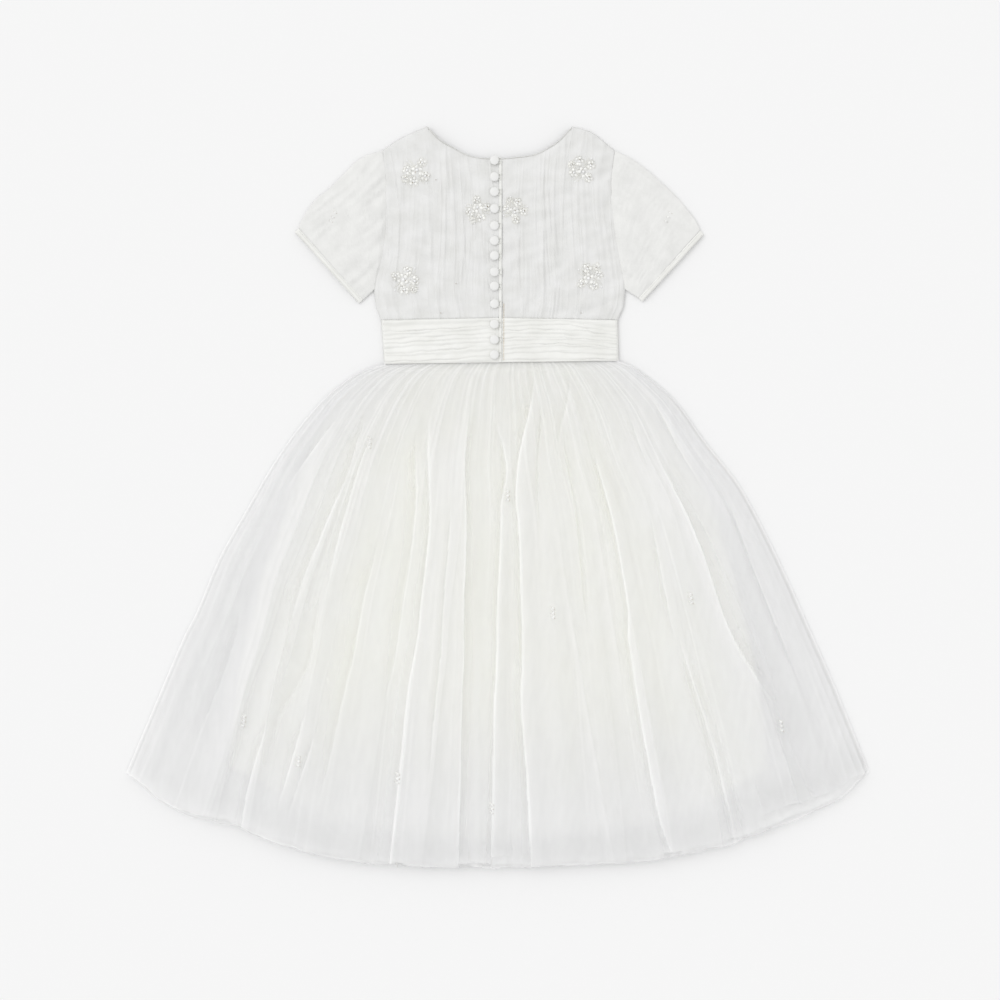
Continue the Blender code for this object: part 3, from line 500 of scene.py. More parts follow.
def drift_between(tree, shader, factor, first, second):
    """Base colour between two linear colours, by a factor that differs from place to place."""
    tint = add(tree, "ShaderNodeMix", {6: first, 7: second}, {"Factor": factor}, data_type="RGBA")
    tree.links.new(tint.outputs[2], shader.inputs["Base Color"])


def emboss(tree, shader, height, strength, distance, under=None):
    """Raise a pattern on the cloth."""
    links = {"Height": height}
    if under is not None:
        links["Normal"] = under
    node = add(tree, "ShaderNodeBump", {"Strength": strength, "Distance": distance}, links)
    tree.links.new(node.outputs["Normal"], shader.inputs["Normal"])
    return node.outputs["Normal"]


def chiffon(name, light, dark, gather):
    """Silk chiffon of crepe yarn, whose grain breaks the light into a matt, faintly sparkling white."""
    material, tree, shader = finish(name, light, 0.78, sheen=0.20, specular=0.25)
    shader.inputs["Sheen Roughness"].default_value = 0.5
    mottle(tree, shader, light, dark, 1.0 / 0.022)
    # crepe yarn lies 0.3 mm apart, drawn 1.3 mm so that it shows
    grain = over_weave(tree, "ShaderNodeTexNoise", (1 / 0.0013, 1 / 0.0013), {"Detail": 2.0})
    first = emboss(tree, shader, grain, 0.18, 0.0005)
    pulled = over_weave(tree, "ShaderNodeTexNoise", gather, {"Detail": 4.0, "Distortion": 0.4})
    emboss(tree, shader, pulled, 0.45, 0.0016, first)
    return material


def satin(name, light, dark, floats, strength):
    """Duchess satin, whose long floats give a soft broad shine across the folds."""
    material, tree, shader = finish(name, light, 0.42, sheen=0.25, specular=0.45)
    shader.inputs["Sheen Roughness"].default_value = 0.35
    shader.inputs["Anisotropic"].default_value = 0.4
    mottle(tree, shader, light, dark, 1.0 / 0.030)
    # floats lie 0.2 mm apart, drawn 0.8 to 1.2 mm so that they show
    emboss(tree, shader, over_weave(tree, "ShaderNodeTexNoise", floats, {"Detail": 2.0}), strength, 0.0004)
    return material


def mesh_cloth(name, single_and_painted_shade, doubled_and_painted_light, cell, open_share, turn, roughness, slub):
    """Net of fine nylon with six-sided holes. The holes let the layers below show through it. Its colour runs
    from a grey tint to a white one by a mark at each point: whiter where it lies in two layers in a fold, and
    greyer where shade is painted on it, towards the top skirt's hem and beside its sharp folds."""
    material, tree, shader = finish(name, single_and_painted_shade, roughness, specular=0.3)
    # doubled_and_painted_light: whiter where the cloth lies in two layers, greyer where painted shade is set
    # on it
    folded = add(tree, "ShaderNodeAttribute", attribute_name="doubled_and_painted_light")
    drift_between(tree, shader, folded.outputs["Fac"], colour(single_and_painted_shade), colour(doubled_and_painted_light))
    place = weave_place(tree, (2.0 * math.pi / cell, 2.0 * math.pi / cell))
    total = None
    for step in range(3):
        across_threads = (*polar(0.0, 0.0, 1.0, turn + step * math.pi / 3.0), 0.0)
        wave = add(tree, "ShaderNodeVectorMath", {1: across_threads}, {0: place}, operation="DOT_PRODUCT")
        cosine = add(tree, "ShaderNodeMath", links={0: wave.outputs["Value"]}, operation="COSINE")
        if total:
            both = {0: total.outputs["Value"], 1: cosine.outputs["Value"]}
            cosine = add(tree, "ShaderNodeMath", links=both, operation="ADD")
        total = cosine
    # three crossing waves run from -1.5 on the threads to 3 in the middle of a hole
    thread = add(tree, "ShaderNodeMapRange", {"From Min": 1.2, "From Max": -0.9, "To Min": open_share,
                                              "To Max": 2.0 - open_share}, {"Value": total.outputs["Value"]})
    drift = over_weave(tree, "ShaderNodeTexNoise", (1 / slub, 0.25 / slub), {"Detail": 2.0})
    uneven = add(tree, "ShaderNodeMapRange", {"To Min": 0.90, "To Max": 1.10}, {"Value": drift})
    cover = add(tree, "ShaderNodeAttribute", attribute_name="cover")
    mixed = add(tree, "ShaderNodeMath", links={0: cover.outputs["Fac"], 1: thread.outputs["Result"]},
                operation="MULTIPLY")
    whole = add(tree, "ShaderNodeMath", links={0: mixed.outputs["Value"], 1: uneven.outputs["Result"]},
                operation="MULTIPLY", use_clamp=True)
    tree.links.new(whole.outputs["Value"], shader.inputs["Alpha"])
    emboss(tree, shader, drift, 0.15, 0.0010)
    return material


def taffeta(name, light, dark):
    """Ivory lining taffeta: a smooth plain weave with a low soft shine."""
    material, tree, shader = finish(name, light, 0.5, sheen=0.15, specular=0.3)
    mottle(tree, shader, light, dark, 1.0 / 0.06)
    # threads lie 0.25 mm apart, drawn 1.9 mm so that they show: the wave texture has 3.2 bands in a unit
    ribs = over_weave(tree, "ShaderNodeTexWave", (1 / 0.006, 1 / 0.006), {"Distortion": 1.5, "Detail": 2.0},
                      bands_direction="Y")
    emboss(tree, shader, ribs, 0.03, 0.0003)
    return material


def bead_finish(name, base, roughness, metallic=0.0, coat=0.0, ior=1.5):
    """A bead or sequin, with a faint drift of colour from one to the next."""
    material, tree, shader = finish(name, base, roughness, metallic=metallic, ior=ior, coat=coat)
    place = add(tree, "ShaderNodeTexCoord").outputs["Object"]
    drift = add(tree, "ShaderNodeTexNoise", {"Scale": 180.0, "Detail": 0.0}, {"Vector": place})
    darker = tuple(part * 0.82 for part in colour(base)[:3]) + (1.0,)
    drift_between(tree, shader, drift.outputs["Fac"], colour(base), darker)
    return material


def cord_finish(name, light, dark, unit):
    """Twisted cord or thread, whose plies run in slanting bars, 3.2 of them in a unit. The bars are raised as
    a bump, and coloured from a darker to a lighter tint as painted shade and painted highlight on each ply.
    """
    material, tree, shader = finish(name, light, 0.45, sheen=0.2)
    place = add(tree, "ShaderNodeTexCoord").outputs["Object"]
    turned = add(tree, "ShaderNodeMapping", {"Rotation": (0.0, 0.0, 0.7), "Scale": (1 / unit,) * 3},
                 {"Vector": place})
    plies = add(tree, "ShaderNodeTexWave", {"Scale": 1.0, "Distortion": 0.6},
                {"Vector": turned.outputs["Vector"]})
    # painted light: each ply is tinted darker and lighter across its bar
    drift_between(tree, shader, plies.outputs["Fac"], colour(dark), colour(light))
    emboss(tree, shader, plies.outputs["Fac"], 0.5, 0.0003)
    return material


# Bodice. The weights say how much of each kind of gather there is: the rounded ones of the solids, the fine
# ones and the unrest of the whole cloth.
BODICE_COLUMNS = 230
BODICE_ROWS = 92
FRONT_COLUMNS = 90
FRONT_ROWS = 80
FINE_GATHERS = 74
ROUND_WEIGHT = 0.22 * GATHER_HEIGHT
FINE_WEIGHT = 1.05
UNREST_WEIGHT = 2.3
ARMHOLE_BLEND = 14.0
SHOULDER_MARGIN = 3.0


def bodice_side(sign):
    """The outlines of one half of the bodice."""
    if sign < 0:
        return SIDE_LEFT, SHOULDER_LEFT, NECK_LEFT
    return SIDE_RIGHT, SHOULDER_RIGHT, NECK_RIGHT


def neck_tip(sign):
    """The point where the neckline meets the shoulder."""
    return NECK_LEFT[0] if sign < 0 else NECK_RIGHT[-1]


def top_edge(x, sign, drop=0.0):
    """Y of the neckline and the shoulder seam at a place across the bodice."""
    _, shoulder, neck = bodice_side(sign)
    tip = neck_tip(sign)
    scoop = height_of(x, neck) - drop * ease((abs(tip.x) - np.abs(x)) / abs(tip.x) * 2.0)
    return np.where(np.abs(x) < abs(tip.x), scoop, height_of(x, shoulder))


def half_plan(share, up, sign, start_x, drop=0.0):
    """Plan points of half the bodice, from the opening at 0 to the side at 1, and from the waist up."""
    side, _, _ = bodice_side(sign)
    foot_x = side[0].x
    low, foot_y = [float(seam_height(x, WAIST_TOP)) + SEAM for x in (start_x, foot_x)]
    high = float(top_edge(np.array(start_x), sign, drop))
    return patch(share, up,
                 over_x(start_x, foot_x, lambda x: seam_height(x, WAIST_TOP) + SEAM),
                 over_x(start_x, side[-1].x, lambda x: top_edge(x, sign, drop)),
                 straight((start_x, low), (start_x, high)),
                 over_y(foot_y, side[-1].y, lambda y: side_of(y, side)))


def body_lift(side_share, top_share):
    """Air between the two layers of the body, which close together at the sides and the top."""
    return BODY_LIFT * ease((1.0 - side_share) / BODY_EASE) * np.clip((1.0 - top_share) / NECK_EASE, 0.0, 1.0)


def bodice_top(share, up):
    """Height of the plain outer face of the bodice back."""
    return 2.0 * BODY_WALL + SEAM + body_lift(share, up)


def fine_gathers(share, up, seed):
    """Thin uneven gathers that run up the bodice, each with its own length, lean, width and height."""
    rng = np.random.default_rng(seed)
    total = 0.0 * share
    for index in range(FINE_GATHERS):
        place = rng.normal(0.33, 0.14) if index % 2 else rng.uniform(0.03, 0.98)
        lean = rng.normal(0.05, 0.05)
        middle = rng.uniform(0.1, 0.8) if index % 2 else rng.uniform(-0.1, 1.1)
        reach = rng.uniform(0.20, 0.75)
        size = rng.uniform(0.9, 1.7) if index % 4 else rng.uniform(2.2, 3.6)
        height = 0.25 + 0.9 * rng.uniform(0.0, 1.0) ** 2
        bend = rng.normal(0.03, 0.08)
        line = place + lean * (up - 0.5) + bend * (up - 0.5) ** 2 + 0.006 * wander(up, seed + index, 0.5)
        fade = ease(1.6 * (1.0 - np.abs(up - middle) / reach))
        total = total + height * fade * bell((share - line) * HALF_BODICE, size)
    return total


def turn_down(z, rim, distance):
    """Turn a panel's edge down, or up, to the height of its rim."""
    return between(z, rim, near(distance, TURN) ** 2)


def at_shoulder(x, sign):
    """Where the bodice ends in the shoulder seam and not in the neckline."""
    return np.abs(x) > abs(neck_tip(sign).x) - SHOULDER_MARGIN


def front_panel(name, half, material):
    """A whole front from a function that gives each half. It lies on its face."""
    grid = np.concatenate([half(-1)[:0:-1], half(1)])
    return thicken(sheet_mesh(name, grid, material, down=True))


def underlap(grid):
    """Carry the first edge of a piece on under its neighbour."""
    edge = grid[:1]
    return np.concatenate([edge - (UNDERLAP_WIDTH, 0.0, UNDERLAP_DEPTH),
                           edge - (0.2 * UNDERLAP_WIDTH, 0.0, 0.9 * UNDERLAP_DEPTH), grid])


def bodice_back(name, sign, material):
    """Half of the bodice back, gathered from the waist to the neck."""
    share, up = unit_grid(BODICE_COLUMNS, BODICE_ROWS)
    x, y = half_plan(share, up, sign, OPENING_X + sign * OPENING_GAP)
    from_opening = share * HALF_BODICE
    from_side = (1.0 - share) * HALF_BODICE
    from_waist = up * BODICE_LENGTH
    from_top = (1.0 - up) * SIDE_LENGTH
    centres = [between(row.waist, row.top, up) + 0.006 * wander(up, 40 + index, 0.5)
               for index, row in enumerate(GATHERS)]
    heights = [row.height * (0.75 + 0.35 * wander(up, 60 + index, 0.7)) for index, row in enumerate(GATHERS)]
    gathered = (ROUND_WEIGHT * ridges(share, centres, heights)
                + FINE_WEIGHT * fine_gathers(share, up, 5 if sign < 0 else 9)
                + UNREST_WEIGHT * cloud(x, y, 2.0 + sign, 26.0, 12.0, 0.35 * sign))
    edge_fade = ease(from_side / 5.0) * ease(from_top / 4.0)
    edge_fade = edge_fade * ease(from_waist / 3.0) * ease(from_opening / 4.0)
    z = bodice_top(share, up) + gathered * (0.25 + 0.75 * edge_fade)
    below_armhole = turn_down(z, BACK_RIM, from_side)
    beside_armhole = z - 0.45 * near(from_side, 1.8)
    z = between(below_armhole, beside_armhole, ease((y - UNDERARM_Y) / ARMHOLE_BLEND))
    z = np.where(at_shoulder(x, sign), turn_down(z, BACK_RIM, from_top), z)
    z = z - 0.4 * near(from_opening, 2.0) - 0.8 * near(from_waist, 2.5)
    grid = np.stack([x, y - TUCK * near(from_waist, 4.0), z], -1)
    if sign > 0:
        grid = underlap(grid)
    return thicken(sheet_mesh(name, grid, material, down=sign < 0)), grid


def bodice_front(name, material):
    """The bodice front, which lies on its face under the back and is cut lower at the neck."""
    def half(sign):
        share, up = unit_grid(FRONT_COLUMNS, FRONT_ROWS)
        x, y = half_plan(share, up, sign, OPENING_X, FRONT_NECK_DROP)
        centres = [between(row.waist, row.top, up) for row in GATHERS]
        hollow = 1.0 - ridges(share, centres, column(GATHERS, "height"), 1.5)
        z = 0.9 * np.clip(hollow, 0.0, 1.0) * ease((1.0 - share) * 8.0)
        z = turn_down(z, FRONT_RIM, (1.0 - share) * HALF_BODICE)
        turned = turn_down(z, FRONT_RIM, (1.0 - up) * BODICE_LENGTH)
        return np.stack([x, y, np.where(at_shoulder(x, sign), turned, z)], -1)
    return front_panel(name, half, material)


# Sash
def sash_plan(share, up, sign, start_x):
    """Plan points of half the sash, from the skirt at 0 up to the bodice at 1."""
    foot = WAIST_SEAM[0] if sign < 0 else WAIST_SEAM[-1]
    head = WAIST_TOP[0] if sign < 0 else WAIST_TOP[-1]
    low = float(seam_height(start_x, WAIST_SEAM)) + SEAM
    high = float(seam_height(start_x, WAIST_TOP))
    return patch(share, up,
                 over_x(start_x, foot.x, lambda x: seam_height(x, WAIST_SEAM) + SEAM),
                 over_x(start_x, head.x, lambda x: seam_height(x, WAIST_TOP)),
                 straight((start_x, low), (start_x, high)),
                 straight((foot.x, foot.y + SEAM), head))


# Creases between the folds of the sash, from its top edge to its foot. Each row gives a crease's height, as a
# share of the sash's, at even steps from the opening to the side.
FOLD_STATIONS = [0.0, 0.25, 0.5, 0.75, 1.0]
SASH_CREASES = {
    -1: [[.908, .885, .870, .859, .847], [.840, .800, .770, .744, .725], [.756, .718, .695, .668, .630],
         [.656, .634, .611, .592, .550], [.561, .542, .519, .489, .450], [.466, .435, .412, .382, .351],
         [.389, .336, .298, .248, .229], [.286, .229, .190, .175, .170], [.190, .122, .076, .057, .060]],
    1: [[.870, .920, .950, .870, .785], [.785, .831, .870, .793, .690], [.716, .747, .747, .709, .610],
        [.632, .648, .632, .594, .540], [.536, .563, .556, .525, .460], [.448, .498, .498, .471, .383],
        [.364, .410, .421, .402, .318], [.268, .318, .356, .318, .249], [.184, .211, .218, .172, .134],
        [.050, .060, .045, .050, .050]],
}
SASH_COLUMNS = 118
SASH_ROWS = 128
SASH_FRONT_COLUMNS = 70
SASH_FRONT_ROWS = 60
FINE_CREASES = 14
FOLD_STEEPNESS = 0.29
FOLD_LIMIT = 1.9
FOLD_LEANS = [0.55, 1.3, 0.8, 0.6, 1.0, 0.7, 1.5]
Pinch = namedtuple("Pinch", "share height")
# how much of their height the folds keep where the opening pinches them
PINCHES = {
    -1: table(Pinch, (0.0, 0.15), (0.05, 0.25), (0.10, 0.65), (0.20, 1.0)),
    1: table(Pinch, (0.0, 0.45), (0.03, 0.7), (0.10, 1.0)),
}


def pleated(share, up, sign):
    """Height of the sash's folds: rolls with sharp creases between them, and depth of the finer creases."""
    lines = [1.0 + 0.0 * share]
    for index, row in enumerate(SASH_CREASES[sign]):
        seed = 70 + index + 11 * sign
        line = np.interp(share, FOLD_STATIONS, row)
        lines.append(line + 0.016 * wander(share, seed, 0.22) + 0.004 * wander(share, seed + 50, 0.06))
    lines.append(0.0 * share)
    rolls = 0.0 * share
    for number, (above, below) in enumerate(zip(lines, lines[1:])):
        room = np.maximum(above - below, 1e-4)
        place = (up - below) / room
        inside = (place >= 0.0) & (place < 1.0)
        high = np.minimum(FOLD_STEEPNESS * room * SASH_HEIGHT, FOLD_LIMIT)
        high = high * (0.8 + 0.4 * wander(share, number, 0.4))
        lean = FOLD_LEANS[(number + sign) % len(FOLD_LEANS)]
        off_top = np.abs(2.0 * np.clip(place, 0.0, 1.0) ** lean - 1.0)
        roll = 0.55 * (1.0 - off_top ** 2.4) + 0.45 * (1.0 - off_top ** 2) ** 2
        rolls = np.where(inside, high * roll, rolls)
    rng = np.random.default_rng(21 + sign)
    fine = 0.0 * share
    for _ in range(FINE_CREASES):
        level = rng.uniform(0.05, 0.95)
        middle = rng.uniform(0.0, 1.0)
        reach = rng.uniform(0.12, 0.40)
        slope = rng.normal(0.0, 0.10)
        fade = ease(1.5 * (1.0 - np.abs(share - middle) / reach))
        offset = (up - level - slope * (share - middle)) * SASH_HEIGHT
        fine = fine + rng.uniform(0.25, 0.8) * fade * bell(offset, rng.uniform(0.5, 1.1))
    return rolls, fine


def sash_back(name, sign, material):
    """Half of the ruched satin sash on the back."""
    share, up = unit_grid(SASH_COLUMNS, SASH_ROWS)
    x, y = sash_plan(share, up, sign, OPENING_X + sign * OPENING_GAP)
    rolls, fine = pleated(share, up, sign)
    pinch = np.interp(share, column(PINCHES[sign], "share"), column(PINCHES[sign], "height"))
    z = 2.0 * BODY_WALL + SEAM + body_lift(share, 0.0) + rolls * pinch - 0.5 * fine * pinch
    z = turn_down(z, BACK_RIM, (1.0 - share) * HALF_SASH)
    rim = np.minimum(up, 1.0 - up) * SASH_HEIGHT
    z = z + 0.2 - 0.3 * near(rim, 1.5) - 0.4 * near(share * HALF_SASH, 2.0)
    grid = np.stack([x, y, z], -1)
    if sign > 0:
        grid = underlap(grid)
    return thicken(sheet_mesh(name, grid, material, down=sign < 0)), grid


def sash_front(name, material):
    """The front of the sash, which lies on its face."""
    def half(sign):
        share, up = unit_grid(SASH_FRONT_COLUMNS, SASH_FRONT_ROWS)
        x, y = sash_plan(share, up, sign, OPENING_X)
        rolls, _ = pleated(share, up, sign)
        z = 0.7 * np.clip(FOLD_LIMIT - rolls, 0.0, 1.3)
        return np.stack([x, y, turn_down(z, FRONT_RIM, (1.0 - share) * HALF_SASH)], -1)
    return front_panel(name, half, material)


# Sleeves
SLEEVE_STATIONS = 84
SLEEVE_POINTS = 66
CUFF_STATIONS = 13
CUFF_POINTS = 60


def sleeve_end(sign):
    """The fold along the top of a sleeve, and the foot of its cuff."""
    if sign < 0:
        return SLEEVE_FOLD_LEFT, CUFF_FOOT_LEFT
    return SLEEVE_FOLD_RIGHT, CUFF_FOOT_RIGHT


def sleeve_plan(out, down, sign):
    """Plan points of a sleeve, from the armhole at 0 out to the cuff at 1, and from the fold down."""
    side, _, _ = bodice_side(sign)
    fold, foot = sleeve_end(sign)
    shift = -sign * TUCK
    armpit = (float(side_of(UNDERARM_Y, side)) + shift, UNDERARM_Y)
    return patch(out, down,
                 over_x(fold[0].x + shift, fold[-1].x, lambda x: height_of(x, fold)),
                 straight(armpit, foot),
                 over_y(side[-1].y, UNDERARM_Y, lambda y: side_of(y, side) + shift),
                 straight(fold[-1], foot))


def ring_places(count):
    """Places round a flat tube: across it, how far the cloth stands from the middle, and which is on top."""
    angle = np.linspace(0.0, 2.0 * math.pi, 2 * count, endpoint=False)
    return (1.0 - np.cos(angle)) / 2.0, np.abs(np.sin(angle)) ** 0.38, angle < math.pi


def sleeve(name, sign, material):
    """A short puffed sleeve of crinkled chiffon, a tube that is open at the armhole and the cuff."""
    places, stand, on_top = ring_places(SLEEVE_POINTS)
    out, down = np.meshgrid(np.linspace(0.0, 1.0, SLEEVE_STATIONS), places, indexing="ij")
    x, y = sleeve_plan(out, down, sign)
    from_armhole = out * SLEEVE_LENGTH
    from_cuff = (1.0 - out) * SLEEVE_LENGTH
    swell = np.sin(math.pi * np.clip(down, 0.0, 1.0)) ** SLEEVE_FULLNESS * (1.0 - SLEEVE_TAPER * out ** 2)
    roof = 2.0 * SLEEVE_WALL + SEAM + SLEEVE_PUFF * swell * (0.30 + 0.70 * ease(from_armhole / 16.0))
    slant = 0.9 * sign
    folded = 1.0 - np.abs(cloud(x, y, 4.0 + sign, 11.0, 60.0, slant)) * 2.4
    small = 1.0 - np.abs(cloud(x, y, 8.0 + sign, 5.0, 14.0, -slant * 0.6)) * 2.4
    crinkle = np.clip(2.0 * folded + 0.55 * small, -0.9, 2.6) * (0.15 + 0.85 * ease(from_armhole / 10.0))
    crinkle = crinkle * (0.25 + 0.75 * ease(from_cuff / 9.0))
    top = SLEEVE_MIDDLE + (roof - SLEEVE_MIDDLE + crinkle - 0.9 * near(from_armhole, 3.0)) * stand
    bottom = SLEEVE_MIDDLE * (1.0 - stand) + 0.35 * np.clip(1.0 - folded, 0.0, 1.0) * stand
    grid = np.stack([x, y, np.where(on_top, top, bottom)], -1)
    return thicken(sheet_mesh(name, grid, material, ring=True, down=sign > 0)), grid


def cuff_frame(sign):
    """Where a cuff starts, how it runs down the sleeve's end, and which way is outward."""
    fold, foot = sleeve_end(sign)
    run = np.array([foot.x - fold[-1].x, foot.y - fold[-1].y])
    outward = np.array([sign * -run[1], sign * run[0]]) / np.hypot(*run)
    return np.array([fold[-1].x, fold[-1].y]), run, outward


def cuff(name, sign, material):
    """The narrow bias binding round the end of a sleeve."""
    start, run, outward = cuff_frame(sign)
    places, stand, on_top = ring_places(CUFF_POINTS)
    steps = np.linspace(0.0, 1.0, CUFF_STATIONS)
    stations = []
    for step in steps:
        distance = SEAM + CUFF_WIDTH * step - 0.9 * (1.0 - step)
        bump = 0.15 + 0.45 * math.sin(math.pi * step) ** 0.5 - 0.6 * step ** 6
        puckered = 0.12 * wander(places, 31 + sign, 0.05)
        z = SLEEVE_MIDDLE + np.where(on_top, (3.05 + bump + puckered) * stand, -SLEEVE_MIDDLE * stand)
        plan = start[None, :] + run[None, :] * places[:, None] + outward[None, :] * distance
        stations.append(np.concatenate([plan, z[:, None]], axis=1))
    grid = np.stack(stations)
    weave = np.stack(np.meshgrid(places * CUFF_LENGTH, steps * CUFF_WIDTH), -1)
    item = sheet_mesh(name, grid, material, weave=weave, ring=True, down=sign > 0)
    return thicken(item, BINDING_THICKNESS), grid


# Skirt. columns and rows count a layer's points, cover is the share of it that is thread, gather how much
# denser it is at the waist, streaks how many thin folds it has, seed where its random draws start, and turn
# the angle of its mesh.
SkirtLook = namedtuple("SkirtLook", "columns rows cover gather streaks seed turn")
SKIRT_LOOKS = {
    "overskirt_front": SkirtLook(150, 80, 0.45, 1.0, 50, 11, 0.3),
    "tulle_front": SkirtLook(120, 60, 0.45, 0.8, 30, 12, 1.2),
    "net_front": SkirtLook(110, 56, 0.45, 0.6, 20, 13, 0.7),
    "lining_front": SkirtLook(90, 60, 1.0, 0.0, 12, 14, 0.0),
    "lining_back": SkirtLook(130, 80, 1.0, 0.0, 24, 15, 0.0),
    "net_back": SkirtLook(190, 90, 0.20, -0.35, 60, 16, 1.9),
    "tulle_back": SkirtLook(260, 110, 0.32, -0.1, 90, 17, 2.6),
    "overskirt_back": SkirtLook(560, 130, 0.36, 0.1, 150, 18, 0.1),
}
FRONT_LAYERS = 4
# how much of the sharp folds each layer has
CREASE_SHARES = {"overskirt_back": 1.0, "tulle_back": 0.4}
WAVE_SHARE = 0.42
BANDS = 34
# shares of the skirt's length: how long a thin fold is, how far the waist's gathers reach, and its sewn edge
STREAK_LENGTH = 0.34
NEAR_WAIST = 0.5
SEWN_EDGE = 0.018
# millimetres: how far the layers sink under the sash, and how far from the side the cloth looks denser
SEWN_SINK = 1.1
EDGE_LINE = 2.2
BESIDE_EDGE = 26.0
INNER_REACH = 14.0
# how far from the side a layer closes on its partner, and how far it stays from the middle between them
SideFold = namedtuple("SideFold", "reach apart")
SIDE_FOLDS = {"lining": SideFold(14.0, 0.34), "net": SideFold(3.0, 0.15), "tulle": SideFold(3.0, 0.15)}
# where a point lies: across and down the skirt, down its own layer, and millimetres from the layer's side
Place = namedtuple("Place", "across down along from_edge")


def side_edge(rows_down):
    """The edge curve down one side of the skirt."""
    return over_y(rows_down[0].y, rows_down[-1].y, lambda y: side_of(y, rows_down))


def skirt_plan(across, down):
    """Plan points in the skirt's outline: across from -1 to 1, and from the waist at 0 to the hem at 1."""
    return patch((across + 1.0) / 2.0, down,
                 over_x(WAIST_SEAM[0].x, WAIST_SEAM[-1].x, lambda x: seam_height(x, WAIST_SEAM)),
                 over_x(HEM[0].x, HEM[-1].x, lambda x: height_of(x, HEM)),
                 side_edge(SKIRT_LEFT), side_edge(SKIRT_RIGHT))


def half_width(down):
    """Half the width of the skirt, in millimetres, at a distance down it."""
    return (side_edge(SKIRT_RIGHT)(down)[0] - side_edge(SKIRT_LEFT)(down)[0]) / 2.0


def along(row, down):
    """Read a line or a fold's place at a distance down the skirt."""
    return np.interp(down, THIRDS, [row.waist, row.third, row.two_thirds, row.hem])


def fold_wave(across, down):
    """Height of the folds, from 0 in the valleys to 1 on the highest ridge."""
    depth = FOLD_START + (1.0 - FOLD_START) * ease(down / FOLD_RISE)
    heights = [row.high + (row.low - row.high) * down for row in FOLDS]
    return depth * ridges(across, [along(row, down) for row in FOLDS], heights)


def hem_of(layer, across):
    """Where a layer's hem lies, as a share of the outline's length."""
    left_bend = (layer.left + 2.0 * layer.middle) / 3.0
    right_bend = (layer.right + 2.0 * layer.middle) / 3.0
    return np.interp(across, HEM_BENDS, [layer.left, left_bend, layer.middle, right_bend, layer.right])


def slope_from(line, across, down):
    """1 inside a line, and down to 0 at the side of the skirt."""
    room = np.maximum(1.0 - along(LINES[line], down), 1e-6)
    return np.clip((1.0 - np.abs(across)) / room, 0.0, 1.0)


def presence(layer, across, down):
    """1 where a layer lies, and less beyond it, where the layers above come down."""
    beside = 1.0 if layer.brink == "outline" else slope_from(layer.brink, across, down)
    if layer.finish != "lining":
        return beside
    room = 1.0 - hem_of(LINING_BACK, across) - HEM_ROOM
    return beside * np.clip((1.0 - down) / room, 0.0, 1.0)


def skirt_height(index, across, down):
    """Height of a layer's middle: all that lies below it, and its own folds."""
    spread = ease(down / SKIRT_EASE) * slope_from("level", across, down)
    total = LAYERS[index].fold * fold_wave(across, down) + TULLE_WALL / 2.0
    for layer in LAYERS[:index]:
        room = TULLE_WALL + SEAM + (layer.gap - SEAM) * spread
        total = total + room * presence(layer, across, down)
    return total


def creased(across, down):
    """Rise of the sharp folds of the top skirt, how much denser they make it, with painted shadow beside
    them where the cloth is drawn thinner and greyer, and their thin bright edges.
    """
    width = half_width(down)
    rise = 0.0 * across
    pile = 0.0 * across
    line = 0.0 * across
    for crease in CREASES:
        downs = [point[0] for point in crease.track]
        centre = through(down, downs, [point[1] for point in crease.track])
        offset = (across - centre) * width
        away = offset if crease.reach > 0 else -offset
        reach = abs(crease.reach)
        flap = np.where(away > 0.0, np.exp(-away / (1.8 * reach)), bell(away, 1.7))
        end = 1.0 if downs[-1] > 0.98 else ease((downs[-1] - down) / 0.14)
        fade = ease((down - downs[0]) / 0.10) * end
        # a shallow trough beside each fold, where the cloth is also drawn thinner and greyer: painted shadow
        pocket_and_painted_shadow = np.where(away < -1.5, np.exp((away + 1.5) / (1.2 * reach)), 0.0)
        rise = rise + fade * crease.rise * (0.26 * flap - 0.10 * pocket_and_painted_shadow)
        pile = pile + fade * (crease.pile * flap - 0.42 * pocket_and_painted_shadow)
        shown = 0.55 + 0.45 * wander(down, len(crease.track) + int(100.0 * abs(downs[-1])), 0.3)
        line = line + max(crease.rise, 0.0) / 3.0 * fade * np.clip(shown, 0.1, 1.0) * bell(offset, 1.3)
    return rise, pile, line


def streaks(across, down, seed, count):
    """Fine gathers that run down from the waist, and thin folds lower down, each of its own length."""
    rng = np.random.default_rng(seed)
    width = half_width(down)
    total = 0.0 * across
    for index in range(count):
        place = rng.uniform(-0.99, 0.99)
        drift = rng.normal(0.0, 0.02)
        length = STREAK_LENGTH * rng.uniform(0.35, 1.7)
        start = -0.2 if index % 3 else rng.uniform(0.0, 0.7)
        size = rng.uniform(1.1, 2.4)
        strength = rng.uniform(0.2, 1.0) ** 1.5
        offset = (across - place - drift * down) * width
        fade = ease((down - start) / 0.15) * ease((start + 0.2 + length - down) / (0.6 * length + 0.1))
        total = total + strength * fade * bell(offset, size)
    return total


def bands(across, down, seed):
    """Broad strips with sharp edges, where the cloth lies in two layers or in one."""
    rng = np.random.default_rng(seed)
    width = half_width(down)
    total = 0.0 * across
    for _ in range(BANDS):
        place = rng.uniform(-0.97, 0.97)
        drift = rng.normal(0.0, 0.05)
        half = rng.uniform(0.012, 0.07)
        start = rng.uniform(-0.3, 0.5)
        stop = start + rng.uniform(0.4, 1.3)
        strength = rng.uniform(-1.0, 1.0)
        offset = across - place - drift * (down - 0.5)
        inside = (half - np.abs(offset)) * width
        soft = 0.5 + 0.5 * offset / half * (1.0 if strength > 0.0 else -1.0)
        fade = ease((down - start) / 0.25) * ease((stop - down) / 0.25)
        total = total + strength * fade * ease(inside / 2.6 + 0.5) * np.clip(soft, 0.0, 1.0)
    return total


